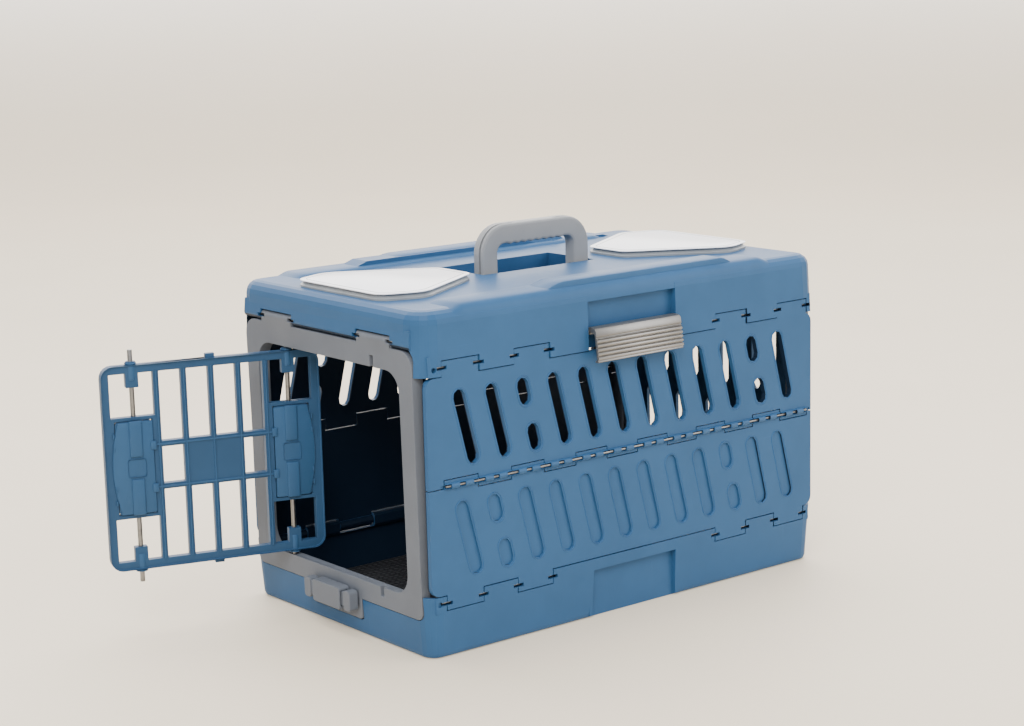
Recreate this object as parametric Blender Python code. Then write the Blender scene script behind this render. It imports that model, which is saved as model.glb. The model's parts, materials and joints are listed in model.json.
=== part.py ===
"""Folding pet transport carrier.

Metres, +Z up. +X runs along the carrier's length and the door end is at -X.
The origin is the centre of the base's flat underside.
The right long side is at -Y. The left side is the same set of mouldings,
turned half a turn about Z, as is the rear end frame.
"""

import math

import bmesh
import bpy
from mathutils import Matrix, Vector

# Base tray
BASE_HEIGHT = 0.0595
BASE_BOTTOM = (0.250, 0.1485)
BASE_RIM = (0.254, 0.152)
BASE_CORNER = 0.014
BASE_WALL = 0.003
FLOOR_TOP = 0.0035
END_WALL_TOP = 0.036
TONGUE_BOTTOM = 0.016
TONGUE_HALF_WIDTH = 0.041
RECESS_HALF_WIDTH = 0.055
RECESS_TOP = 0.048
RECESS_FLOOR = 0.1452

# Lid shell
LID_RIM_HEIGHT = 0.266
LID_SHOULDER_HEIGHT = 0.314
LID_SHOULDER_RADIUS = 0.012
LID_RIM = (0.258, 0.153)
LID_SHOULDER = (0.2563, 0.1518)
LID_CORNER = 0.022
LID_WALL = 0.003
LID_TOP = LID_SHOULDER_HEIGHT + LID_SHOULDER_RADIUS
LOW_RAIL_TOP = 0.3284
HIGH_RAIL_TOP = 0.3335
LATCH_BAY_HALF_WIDTH = 0.0565
LATCH_BAY_FLOOR = 0.145
WELL_LOW = (-0.0725, -0.0125)
WELL_HIGH = (0.0725, 0.0620)
WELL_FLOOR = 0.3100

# Folding side walls
WALL_FRONT_END = -0.2495
WALL_REAR_END = 0.2475
WALL_INNER = 0.1460
WALL_OUTER = 0.1516
END_HINGE_Y = 0.1465
BASE_HINGE_Z = 0.0525
MID_HINGE_Z = 0.1630
LID_HINGE_Z = 2 * MID_HINGE_Z - BASE_HINGE_Z
MID_HINGE_Y = 0.1520
TAB_HALF_WIDTH = 0.021
TAB_REACH = 0.0062
TAB_BARREL = 0.0047
UPPER_TABS = (-0.210, -0.126, 0.132, 0.219)
LOWER_TABS = (-0.211, -0.127, 0.130, 0.214)
LOWER_RODS = ((-0.236, -0.098), (0.101, 0.241))
UPPER_RODS = ((-0.236, -0.098), (0.104, 0.243))
STRIP_START = -0.232
STRIP_END = 0.241
STRIP_BLOCKS = 12
STRIP_HALF_HEIGHT = 0.0055
MID_BARREL = 0.0030
PANEL_SEAM = 0.0011
OUTSIDE_Y = 0.1580
SLOT_COLUMNS = 12
SLOT_PITCH = 0.0372
SLOT_WIDTH = 0.0135
SLOT_HEIGHT = 0.0720
SLOT_SLANT = 0.0179
SLOT_GAP = 0.018
UPPER_SLOTS_Z = 0.2155
LOWER_SLOTS_Z = 0.1106
UPPER_SPLIT = (2, 10)
LOWER_SPLIT = (1, 9)
BLIND_DEPTH = 0.0020

# End frames
FRAME_HALF_WIDTH = 0.140
FRAME_BOTTOM = 0.0365
FRAME_TOP = 0.2895
FRAME_FACE_BOTTOM = 0.253
FRAME_FACE_TOP = 0.2565
FRAME_INNER = 0.243
OPENING_HALF_WIDTH = 0.119
OPENING_LOW = 0.0565
OPENING_HIGH = 0.268
OPENING_CORNER = 0.020
FRAME_PIVOT_X = 0.2526
FRAME_PIVOT_Z = 0.2955
FRAME_BARREL = 0.0052
FRAME_TAB_CENTRE = 0.0818
FRAME_TAB_HALF_WIDTH = 0.0265

# Door
DOOR_X = -0.2500
DOOR_PIN_Y = 0.077
DOOR_HALF_WIDTH = 0.1075
DOOR_LOW = 0.0620
DOOR_HIGH = 0.2632
DOOR_HALF_THICKNESS = 0.004
DOOR_OPEN_ANGLE = math.radians(107)
DOOR_RIM = 0.008
DOOR_BAR = 0.0055
DOOR_BARS = (-0.054, -0.027, 0.0, 0.027, 0.054)
CROSSBARS_Z = (0.1415, 0.1835)
LATCH_PLATE_LOW = 0.117
LATCH_PLATE_HIGH = 0.2085
LATCH_PLATE_INNER = 0.0600
LATCH_PLATE_OUTER = 0.0960
BOLT_RADIUS = 0.0020
BOLT_LOW_TIP = 0.0485
BOLT_HIGH_TIP = 0.2777
SOCKET_LOW = 0.0470
SOCKET_HIGH = 0.2790
SLEEVE_HALF_WIDTH = 0.0062
SLEEVE_LENGTH = 0.014

# Small hardware
ROD_RADIUS = 0.0015
MID_ROD_RADIUS = 0.00125
ROD_CLEARANCE = 0.00035
WINDOW_HALF_WIDTH = 0.006
WINDOW_HALF_HEIGHT = 0.0017
LARGE_WINDOW_HALF_WIDTH = 0.0070
SMALL_WINDOW_HALF_WIDTH = 0.0036
STRIP_WINDOW_HALF_HEIGHT = 0.0022
HANDLE_OUTER = 0.0695
HANDLE_INNER = 0.0495
HANDLE_TOP = 0.374
HANDLE_UNDERSIDE = 0.353
HANDLE_HALF_DEPTH = 0.008
HANDLE_PIVOT_Z = 0.322
HANDLE_PIN_RADIUS = 0.0025
LATCH_PIVOT_Y = 0.1498
LATCH_PIVOT_Z = 0.284
LATCH_HALF_LENGTH = 0.055

STRAIGHT = Matrix.Identity(4)
HALF_TURN = Matrix.Rotation(math.pi, 4, "Z")
ROUND_STEPS = 10

for old in list(bpy.data.objects):
    bpy.data.objects.remove(old)

PARTS = bpy.data.collections.new("pet_transport_carrier")
CUTTERS = bpy.data.collections.new("pet_transport_carrier_helpers")
bpy.context.scene.collection.children.link(PARTS)
bpy.context.scene.collection.children.link(CUTTERS)


def plastic(name, colour, roughness, metallic=0.0):
    """A Principled material of one colour."""
    material = bpy.data.materials.new(name)
    material.use_nodes = True
    shader = material.node_tree.nodes["Principled BSDF"]
    shader.inputs["Base Color"].default_value = (*colour, 1.0)
    shader.inputs["Roughness"].default_value = roughness
    shader.inputs["Metallic"].default_value = metallic
    return material


BODY_BLUE = (0.105, 0.245, 0.390)
DOOR_BLUE = (0.065, 0.165, 0.285)
FRAME_GREY = (0.330, 0.335, 0.350)
HANDLE_GREY = (0.430, 0.435, 0.440)
LATCH_SILVER = (0.560, 0.550, 0.530)
WINDOW_WHITE = (0.860, 0.860, 0.900)
MAT_GREY = (0.020, 0.021, 0.024)
STEEL = (0.600, 0.600, 0.610)


def arc(centre, radius, start, end, steps):
    """Points on a circle from one angle to another, both in degrees."""
    points = []
    for step in range(steps + 1):
        angle = math.radians(start + (end - start) * step / steps)
        points.append((centre[0] + radius * math.cos(angle), centre[1] + radius * math.sin(angle)))
    return points


def rounded(corners, steps=4):
    """A closed outline whose corners (a, b, radius) are rounded."""
    points = []
    count = len(corners)
    for index, (a, b, radius) in enumerate(corners):
        if radius <= 0:
            points.append((a, b))
            continue
        corner = Vector((a, b))
        before = (Vector(corners[index - 1][:2]) - corner).normalized()
        after = (Vector(corners[(index + 1) % count][:2]) - corner).normalized()
        half = before.angle(after) / 2
        middle = (before + after).normalized()
        centre = corner + middle * (radius / math.sin(half))
        first = corner + before * (radius / math.tan(half)) - centre
        last = corner + after * (radius / math.tan(half)) - centre
        sweep = first.angle_signed(last)
        for step in range(steps + 1):
            turned = first.copy()
            turned.rotate(Matrix.Rotation(-sweep * step / steps, 2))
            points.append(tuple(centre + turned))
    return points


def rectangle(low, high, radius=0.0, steps=4):
    """A rounded rectangle's outline between two corners."""
    (a0, b0), (a1, b1) = low, high
    return rounded([(a0, b0, radius), (a1, b0, radius), (a1, b1, radius), (a0, b1, radius)], steps)


def stadium(centre, width, height, slant=0.0, steps=4):
    """A round-ended slot standing along b. Its top leans towards -a by slant."""
    radius = width / 2
    reach = height / 2 - radius
    lean = slant * reach / (height / 2) / 2
    direction = Vector((-lean, reach))
    tilt = math.degrees(direction.angle_signed(Vector((0, 1))))
    top = (centre[0] - lean, centre[1] + reach)
    bottom = (centre[0] + lean, centre[1] - reach)
    upper = arc(top, radius, tilt, 180 + tilt, steps)
    lower = arc(bottom, radius, 180 + tilt, 360 + tilt, steps)
    return upper + lower


AXES = {"X": (1, 2, 0), "Y": (0, 2, 1), "Z": (0, 1, 2)}


def add_prism(shape, axis, outline, low, high):
    """An outline in the plane across an axis, extruded along the axis."""
    first, second, along = AXES[axis]
    ring = []
    for a, b in outline:
        place = [0.0, 0.0, 0.0]
        place[first] = a
        place[second] = b
        place[along] = low
        ring.append(shape.verts.new(place))
    grown = bmesh.ops.extrude_face_region(shape, geom=[shape.faces.new(ring)])
    top = [item for item in grown["geom"] if isinstance(item, bmesh.types.BMVert)]
    step = [0.0, 0.0, 0.0]
    step[along] = high - low
    bmesh.ops.translate(shape, verts=top, vec=step)
    bmesh.ops.recalc_face_normals(shape, faces=shape.faces)
    return top


def prism(axis, outline, low, high):
    shape = bmesh.new()
    add_prism(shape, axis, outline, low, high)
    return shape


def add_box(shape, low, high):
    add_prism(shape, "Z", rectangle(low[:2], high[:2]), low[2], high[2])


def box(low, high):
    shape = bmesh.new()
    add_box(shape, low, high)
    return shape


def add_rod(shape, axis, centre, radius, low, high, steps=ROUND_STEPS):
    circle = arc(centre, radius, 0, 360, steps)[:-1]
    add_prism(shape, axis, circle, low, high)


def rod(axis, centre, radius, low, high, steps=ROUND_STEPS):
    shape = bmesh.new()
    add_rod(shape, axis, centre, radius, low, high, steps)
    return shape


def loft(sections, steps=4):
    """A closed solid through rounded rectangles (z, half_x, half_y, radius), capped."""
    shape = bmesh.new()
    below = None
    for z, half_x, half_y, radius in sections:
        outline = rectangle((-half_x, -half_y), (half_x, half_y), radius, steps)
        ring = [shape.verts.new((x, y, z)) for x, y in outline]
        if below is None:
            shape.faces.new(ring)
        else:
            for index in range(len(ring)):
                shape.faces.new((below[index - 1], below[index], ring[index], ring[index - 1]))
        below = ring
    shape.faces.new(below)
    bmesh.ops.recalc_face_normals(shape, faces=shape.faces)
    return shape


def add_object(name, shape, collection, turn=STRAIGHT, pivot=(0, 0, 0)):
    """An object from a shape in world coordinates, with its origin at a pivot."""
    shape.transform(turn)
    origin = turn @ Vector(pivot)
    bmesh.ops.translate(shape, verts=shape.verts, vec=-origin)
    mesh = bpy.data.meshes.new(name)
    shape.to_mesh(mesh)
    shape.free()
    obj = bpy.data.objects.new(name, mesh)
    obj.location = origin
    collection.objects.link(obj)
    return obj


def part(name, shape, material, turn=STRAIGHT, pivot=(0, 0, 0)):
    obj = add_object(name, shape, PARTS, turn, pivot)
    obj.data.materials.append(material)
    return obj


def combine(obj, kind, shape, turn=STRAIGHT):
    """A Boolean modifier with a hidden helper made from a shape in world coordinates."""
    helper = add_object(f"{obj.name}_{kind.lower()}_{len(obj.modifiers)}", shape, CUTTERS, turn)
    helper.hide_render = True
    helper.display_type = "WIRE"
    modifier = obj.modifiers.new(helper.name, "BOOLEAN")
    modifier.operation = kind
    modifier.object = helper


def cut(obj, shape, turn=STRAIGHT):
    combine(obj, "DIFFERENCE", shape, turn)


def join(obj, shape, turn=STRAIGHT):
    combine(obj, "UNION", shape, turn)


def both_sides(build, shape):
    """Adds what build makes for the right side, and the same for the left side."""
    for turn in (STRAIGHT, HALF_TURN):
        piece = bmesh.new()
        build(piece)
        piece.transform(turn)
        mesh = bpy.data.meshes.new("side")
        piece.to_mesh(mesh)
        piece.free()
        shape.from_mesh(mesh)
        bpy.data.meshes.remove(mesh)
    return shape


def mirrored(build):
    return both_sides(build, bmesh.new())


def add_windows(shape, centres, hinge_z):
    """The small openings over a hinge rod at each edge of each tab."""
    for centre in centres:
        for edge in (centre - TAB_HALF_WIDTH, centre + TAB_HALF_WIDTH):
            low = (edge - WINDOW_HALF_WIDTH, -0.156, hinge_z - WINDOW_HALF_HEIGHT)
            high = (edge + WINDOW_HALF_WIDTH, -END_HINGE_Y, hinge_z + WINDOW_HALF_HEIGHT)
            add_box(shape, low, high)


def tab_notches(centres, low_z, high_z):
    def build(shape):
        for centre in centres:
            half = TAB_HALF_WIDTH + PANEL_SEAM
            add_box(shape, (centre - half, -0.158, low_z), (centre + half, -0.139, high_z))

    return build


def rod_holes(spans, hinge_z):
    def build(shape):
        for low, high in spans:
            centre = (-END_HINGE_Y, hinge_z)
            add_rod(shape, "X", centre, ROD_RADIUS + ROD_CLEARANCE, low - 0.0008, high + 0.0008)

    return build


def corner_holes(z):
    def build(shape):
        add_rod(shape, "Y", (-0.2400, z), 0.0025, -0.158, -0.1488, 12)

    return build


def make_base(blue):
    """The base tray, with thick hinge rims, low end walls and a recess in each long side."""
    outer = [
        (0.0, BASE_BOTTOM[0] - 0.004, BASE_BOTTOM[1] - 0.004, BASE_CORNER - 0.004),
        (0.0012, BASE_BOTTOM[0] - 0.0012, BASE_BOTTOM[1] - 0.0012, BASE_CORNER - 0.0012),
        (0.0042, BASE_BOTTOM[0], BASE_BOTTOM[1], BASE_CORNER),
        (BASE_HEIGHT, BASE_RIM[0], BASE_RIM[1], BASE_CORNER + 0.003),
    ]
    inner = [
        (FLOOR_TOP, BASE_BOTTOM[0] - BASE_WALL, BASE_BOTTOM[1] - BASE_WALL, BASE_CORNER - BASE_WALL),
        (BASE_HEIGHT + 0.001, BASE_RIM[0] - BASE_WALL, BASE_RIM[1] - BASE_WALL, BASE_CORNER),
    ]
    tray = part("base_tray", loft(outer), blue)
    cut(tray, loft(inner))

    def rims(shape):
        section = [
            (-0.1507, 0.0440),
            (-0.1507, BASE_HEIGHT - 0.0003),
            (-END_HINGE_Y, BASE_HEIGHT - 0.0003),
            (-0.1432, 0.0585),
            (-0.1416, 0.0566),
            (-0.1416, 0.0475),
            (-0.1440, 0.0440),
        ]
        add_prism(shape, "X", section, -0.2445, 0.2445)

    def recess_backs(shape):
        add_box(shape, (-0.0585, -0.1490, 0.0020), (0.0585, -0.1424, 0.0450))

    join(tray, mirrored(recess_backs))
    join(tray, mirrored(rims))
    half = FRAME_HALF_WIDTH + PANEL_SEAM
    tongue = TONGUE_HALF_WIDTH + PANEL_SEAM
    opening = rounded(
        [
            (-half, 0.070, 0),
            (-half, END_WALL_TOP, 0.0085),
            (-tongue, END_WALL_TOP, 0),
            (-tongue, TONGUE_BOTTOM - PANEL_SEAM, 0.0035),
            (tongue, TONGUE_BOTTOM - PANEL_SEAM, 0.0035),
            (tongue, END_WALL_TOP, 0),
            (half, END_WALL_TOP, 0.0085),
            (half, 0.070, 0),
        ]
    )
    cut(tray, prism("X", opening, -0.262, -0.241))
    cut(tray, prism("X", opening, 0.241, 0.262))
    notch_floor = BASE_HINGE_Z - TAB_REACH - PANEL_SEAM
    cut(tray, mirrored(tab_notches(LOWER_TABS, notch_floor, 0.066)))
    cut(tray, mirrored(rod_holes(LOWER_RODS, BASE_HINGE_Z)))
    cut(tray, mirrored(lambda shape: add_windows(shape, LOWER_TABS, BASE_HINGE_Z)))
    cut(tray, mirrored(corner_holes(BASE_HINGE_Z)))

    def recesses(shape):
        top = RECESS_HALF_WIDTH - 0.001
        outline = [
            (-RECESS_HALF_WIDTH, -0.002),
            (RECESS_HALF_WIDTH, -0.002),
            (top, RECESS_TOP),
            (-top, RECESS_TOP),
        ]
        add_prism(shape, "Y", outline, -0.158, -RECESS_FLOOR)

    cut(tray, mirrored(recesses))


def make_floor_mat(rubber):
    """The loose mat on the tray's floor, with grooves along it."""
    outline = rectangle((-0.2390, -0.1400), (0.2390, 0.1400), 0.008, 3)
    mat = part("floor_mat", prism("Z", outline, FLOOR_TOP + 0.0004, 0.0066), rubber)
    grooves = bmesh.new()
    for step in range(-13, 14):
        y = step * 0.0100
        add_box(grooves, (-0.2300, y - 0.0012, 0.0056), (0.2300, y + 0.0012, 0.0080))
    cut(mat, grooves)


def strip_edges():
    """The block boundaries of the middle hinge, along X."""
    pitch = (STRIP_END - STRIP_START) / STRIP_BLOCKS
    return [STRIP_START + pitch * index for index in range(STRIP_BLOCKS + 1)]


def crenellations(upper):
    """The middle edge of a panel from front to rear: (x, z), stepping at every hinge block."""
    edges = strip_edges()
    sign = 1 if upper else -1
    reach = MID_HINGE_Z - sign * STRIP_HALF_HEIGHT
    back = MID_HINGE_Z + sign * (STRIP_HALF_HEIGHT + PANEL_SEAM)
    plain = MID_HINGE_Z - 0.0018 + sign * PANEL_SEAM / 2
    shift = PANEL_SEAM / 2
    points = [(WALL_FRONT_END, plain)]
    for index in range(STRIP_BLOCKS):
        own = (index % 2 == 1) == upper
        inset = shift if own else -shift
        height = reach if own else back
        points.append((edges[index] + inset, None))
        points.append((edges[index] + inset, height))
        points.append((edges[index + 1] - inset, height))
        points.append((edges[index + 1] - inset, None))
    points.append((WALL_REAR_END, plain))
    clean = []
    for index, (x, z) in enumerate(points):
        if z is not None:
            clean.append((x, z))
        elif index == 1 or index == len(points) - 2:
            clean.append((x, plain))
    return clean


def slot_outlines(split_columns, centre_z):
    """Twelve slanted slots. Two columns are split into two short slots each."""
    outlines = []
    for column in range(SLOT_COLUMNS):
        x = (column - (SLOT_COLUMNS - 1) / 2) * SLOT_PITCH
        if column not in split_columns:
            outlines.append(stadium((x, centre_z), SLOT_WIDTH, SLOT_HEIGHT, SLOT_SLANT))
            continue
        short = (SLOT_HEIGHT - SLOT_GAP) / 2
        offset = (short + SLOT_GAP) / 2
        lean = SLOT_SLANT * offset / SLOT_HEIGHT
        slant = SLOT_SLANT * short / SLOT_HEIGHT
        outlines.append(stadium((x - lean, centre_z + offset), SLOT_WIDTH, short, slant))
        outlines.append(stadium((x + lean, centre_z - offset), SLOT_WIDTH, short, slant))
    return outlines


def make_panel(name, upper, blue, turn):
    """One folding wall panel: slab, hinge tabs, hinge blocks and slots."""
    hinge_z = LID_HINGE_Z if upper else BASE_HINGE_Z
    tabs = UPPER_TABS if upper else LOWER_TABS
    spans = UPPER_RODS if upper else LOWER_RODS
    sign = 1 if upper else -1
    rim = LID_RIM_HEIGHT - PANEL_SEAM if upper else BASE_HEIGHT + PANEL_SEAM
    middle = crenellations(upper)
    outline = list(middle)
    far = [(WALL_REAR_END, rim, 0.009)]
    for centre in reversed(tabs):
        tip = hinge_z + sign * TAB_REACH
        far.append((centre + TAB_HALF_WIDTH, rim, 0))
        far.append((centre + TAB_HALF_WIDTH, tip, 0))
        far.append((centre - TAB_HALF_WIDTH, tip, 0))
        far.append((centre - TAB_HALF_WIDTH, rim, 0))
    far.append((WALL_FRONT_END, rim, 0.009))
    start = [(middle[-1][0], middle[-1][1], 0)]
    end = [(middle[0][0], middle[0][1], 0)]
    outline = middle[1:-1] + rounded(start + far + end)
    pivot = (0, -END_HINGE_Y, hinge_z)
    if upper:
        pivot = (0, -MID_HINGE_Y, MID_HINGE_Z)
    panel = part(name, prism("Y", outline, -WALL_OUTER, -WALL_INNER), blue, turn, pivot)
    barrels = bmesh.new()
    for centre in tabs:
        low = centre - TAB_HALF_WIDTH
        add_rod(barrels, "X", (-END_HINGE_Y, hinge_z), TAB_BARREL, low, centre + TAB_HALF_WIDTH)
    edges = strip_edges()
    for index in range(STRIP_BLOCKS):
        if (index % 2 == 1) != upper:
            continue
        low = edges[index] + PANEL_SEAM / 2
        high = edges[index + 1] - PANEL_SEAM / 2
        add_rod(barrels, "X", (-MID_HINGE_Y, MID_HINGE_Z), MID_BARREL, low, high, 8)
    join(panel, barrels, turn)
    holes = bmesh.new()
    rod_holes(spans, hinge_z)(holes)
    hole = MID_ROD_RADIUS + ROD_CLEARANCE
    add_rod(holes, "X", (-MID_HINGE_Y, MID_HINGE_Z), hole, STRIP_START - 0.004, STRIP_END + 0.004, 8)
    cut(panel, holes, turn)
    windows = bmesh.new()
    add_windows(windows, tabs, hinge_z)
    to_block_centre = (edges[0] - edges[1]) / 2
    for index, edge in enumerate(edges):
        spots = [(edge, LARGE_WINDOW_HALF_WIDTH)]
        if index:
            spots.append((edge + to_block_centre, SMALL_WINDOW_HALF_WIDTH))
        for x, half in spots:
            low = (x - half, -OUTSIDE_Y, MID_HINGE_Z - STRIP_WINDOW_HALF_HEIGHT)
            add_box(windows, low, (x + half, -MID_HINGE_Y, MID_HINGE_Z + STRIP_WINDOW_HALF_HEIGHT))
    cut(panel, windows, turn)
    split = UPPER_SPLIT if upper else LOWER_SPLIT
    centre_z = UPPER_SLOTS_Z if upper else LOWER_SLOTS_Z
    inner = -0.1400 if upper else -WALL_OUTER + BLIND_DEPTH
    slots = bmesh.new()
    for slot in slot_outlines(split, centre_z):
        add_prism(slots, "Y", slot, -OUTSIDE_Y, inner)
    cut(panel, slots, turn)


def make_rods(side, turn, steel):
    """The steel hinge rods of one long side."""
    lines = (("base", LOWER_RODS, BASE_HINGE_Z), ("lid", UPPER_RODS, LID_HINGE_Z))
    for line, spans, hinge_z in lines:
        for end, (low, high) in zip(("front", "rear"), spans):
            shape = rod("X", (-END_HINGE_Y, hinge_z), ROD_RADIUS, low, high, 8)
            part(f"{side}_{line}_rod_{end}", shape, steel, turn, (0, -END_HINGE_Y, hinge_z))
    shape = rod("X", (-MID_HINGE_Y, MID_HINGE_Z), MID_ROD_RADIUS, STRIP_START + 0.001, STRIP_END - 0.001, 8)
    part(f"{side}_middle_rod", shape, steel, turn, (0, -MID_HINGE_Y, MID_HINGE_Z))


def lid_sections(inset, bottom):
    """The lid's outline at rising heights, from the rim to the top plane."""
    sections = [
        (bottom, LID_RIM[0] - inset, LID_RIM[1] - inset, LID_CORNER - inset),
        (LID_SHOULDER_HEIGHT, LID_SHOULDER[0] - inset, LID_SHOULDER[1] - inset, LID_CORNER - inset),
    ]
    radius = LID_SHOULDER_RADIUS - inset
    for angle in (22.5, 45, 67.5, 90):
        turn = math.radians(angle)
        shrink = inset + radius * (1 - math.cos(turn))
        sections.append(
            (
                LID_SHOULDER_HEIGHT + radius * math.sin(turn),
                LID_SHOULDER[0] - shrink,
                LID_SHOULDER[1] - shrink,
                LID_CORNER - shrink,
            )
        )
    return sections


def make_lid(blue):
    """The lid shell with its hinge rims, latch bays, rails and handle well."""
    lid = part("lid_shell", loft(lid_sections(0.0, LID_RIM_HEIGHT)), blue)
    cut(lid, loft(lid_sections(LID_WALL, LID_RIM_HEIGHT - 0.001)))
    half = FRAME_HALF_WIDTH + PANEL_SEAM
    mouth = rounded(
        [
            (-half, 0.2600, 0),
            (half, 0.2600, 0),
            (half, FRAME_PIVOT_Z + 0.0002, 0.0150),
            (-half, FRAME_PIVOT_Z + 0.0002, 0.0150),
        ],
        5,
    )
    cut(lid, prism("X", mouth, -0.262, -0.249))
    cut(lid, prism("X", mouth, 0.249, 0.262))

    def side_rims(shape):
        section = [
            (-0.1520, LID_RIM_HEIGHT + 0.0002),
            (-END_HINGE_Y, LID_RIM_HEIGHT + 0.0002),
            (-0.1427, 0.2671),
            (-0.1414, 0.2690),
            (-0.1414, 0.2790),
            (-0.1440, 0.2835),
            (-0.1510, 0.2850),
        ]
        add_prism(shape, "X", section, -0.2465, -0.0905)
        add_prism(shape, "X", section, 0.0950, 0.2465)

    def bay_backs(shape):
        half_width = LATCH_BAY_HALF_WIDTH + 0.0035
        section = [
            (-0.1515, LID_RIM_HEIGHT + 0.0002),
            (-END_HINGE_Y, LID_RIM_HEIGHT + 0.0002),
            (-0.1420, 0.2685),
            (-0.1395, 0.3240),
            (-0.1440, 0.3240),
            (-0.1490, 0.3200),
            (-0.1505, 0.3140),
        ]
        add_prism(shape, "X", section, -half_width, half_width)

    def rails(shape):
        outline = [
            (-0.2050, LID_TOP - 0.001),
            (-0.1930, LOW_RAIL_TOP),
            (-0.1000, LOW_RAIL_TOP),
            (-0.0800, HIGH_RAIL_TOP),
            (0.1250, HIGH_RAIL_TOP),
            (0.1400, LOW_RAIL_TOP),
            (0.1730, LOW_RAIL_TOP),
            (0.1880, LID_TOP - 0.001),
        ]
        add_prism(shape, "Y", outline, -0.1390, -0.1130)

    def end_beads(shape):
        circle = arc((-FRAME_PIVOT_X, FRAME_PIVOT_Z), FRAME_BARREL, 180, 360, 10)
        edge = FRAME_PIVOT_X - FRAME_BARREL
        section = circle + [(-edge, 0.3050), (-edge - 0.0045, 0.3090), (-0.2562, 0.3090)]
        add_prism(shape, "Y", section, -0.1390, 0.1390)

    join(lid, mirrored(side_rims))
    join(lid, mirrored(bay_backs))
    join(lid, mirrored(end_beads))
    join(lid, mirrored(rails))
    tub_low = (WELL_LOW[0] - 0.0060, WELL_LOW[1] - 0.0050, WELL_FLOOR - 0.0030)
    tub_high = (WELL_HIGH[0] + 0.0060, WELL_HIGH[1] + 0.0050, LID_TOP - 0.0010)
    join(lid, box(tub_low, tub_high))
    notch_top = LID_HINGE_Z + TAB_REACH + PANEL_SEAM
    cut(lid, mirrored(tab_notches(UPPER_TABS, 0.2600, notch_top)))
    tabs = bmesh.new()
    for end in (-1, 1):
        for centre in (-FRAME_TAB_CENTRE, FRAME_TAB_CENTRE):
            width = FRAME_TAB_HALF_WIDTH + PANEL_SEAM
            outline = rectangle((centre - width, 0.2800), (centre + width, 0.3016))
            low, high = sorted((end * 0.2440, end * 0.2640))
            add_prism(tabs, "X", outline, low, high)
    cut(lid, tabs)
    cut(lid, mirrored(rod_holes(UPPER_RODS, LID_HINGE_Z)))
    holes = bmesh.new()
    for end in (-1, 1):
        centre = (end * FRAME_PIVOT_X, FRAME_PIVOT_Z)
        add_rod(holes, "Y", centre, ROD_RADIUS + ROD_CLEARANCE, -0.1168, 0.1168)
    cut(lid, holes)
    cut(lid, mirrored(lambda shape: add_windows(shape, UPPER_TABS, LID_HINGE_Z)))
    cut(lid, frame_windows(-1))
    cut(lid, frame_windows(1))

    def bays(shape):
        outline = [
            (-LATCH_BAY_HALF_WIDTH, 0.2620),
            (LATCH_BAY_HALF_WIDTH, 0.2620),
            (LATCH_BAY_HALF_WIDTH, 0.3400),
            (-LATCH_BAY_HALF_WIDTH, 0.3400),
        ]
        add_prism(shape, "Y", outline, -0.1600, -LATCH_BAY_FLOOR)

    cut(lid, mirrored(bays))
    cut(lid, box((*WELL_LOW, WELL_FLOOR), (*WELL_HIGH, 0.3400)))

    def pin_holes(shape):
        centre = (-LATCH_PIVOT_Y, LATCH_PIVOT_Z)
        add_rod(shape, "X", centre, ROD_RADIUS + ROD_CLEARANCE, -0.0592, 0.0592)

    cut(lid, mirrored(pin_holes))
    sockets = bmesh.new()
    add_rod(sockets, "X", (0, HANDLE_PIVOT_Z), HANDLE_PIN_RADIUS + ROD_CLEARANCE, -0.0770, 0.0770)
    cut(lid, sockets)
    cut(lid, mirrored(corner_holes(LID_HINGE_Z - 0.001)))


def frame_windows(end):
    """The small openings over an end frame's hinge rod at each edge of each tab."""
    shape = bmesh.new()
    for centre in (-FRAME_TAB_CENTRE, FRAME_TAB_CENTRE):
        for edge in (centre - FRAME_TAB_HALF_WIDTH, centre + FRAME_TAB_HALF_WIDTH):
            low, high = sorted((end * FRAME_PIVOT_X, end * 0.2640))
            low_z = FRAME_PIVOT_Z - WINDOW_HALF_HEIGHT
            high_z = FRAME_PIVOT_Z + WINDOW_HALF_HEIGHT
            half = WINDOW_HALF_WIDTH
            add_box(shape, (low, edge - half, low_z), (high, edge + half, high_z))
    return shape


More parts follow.
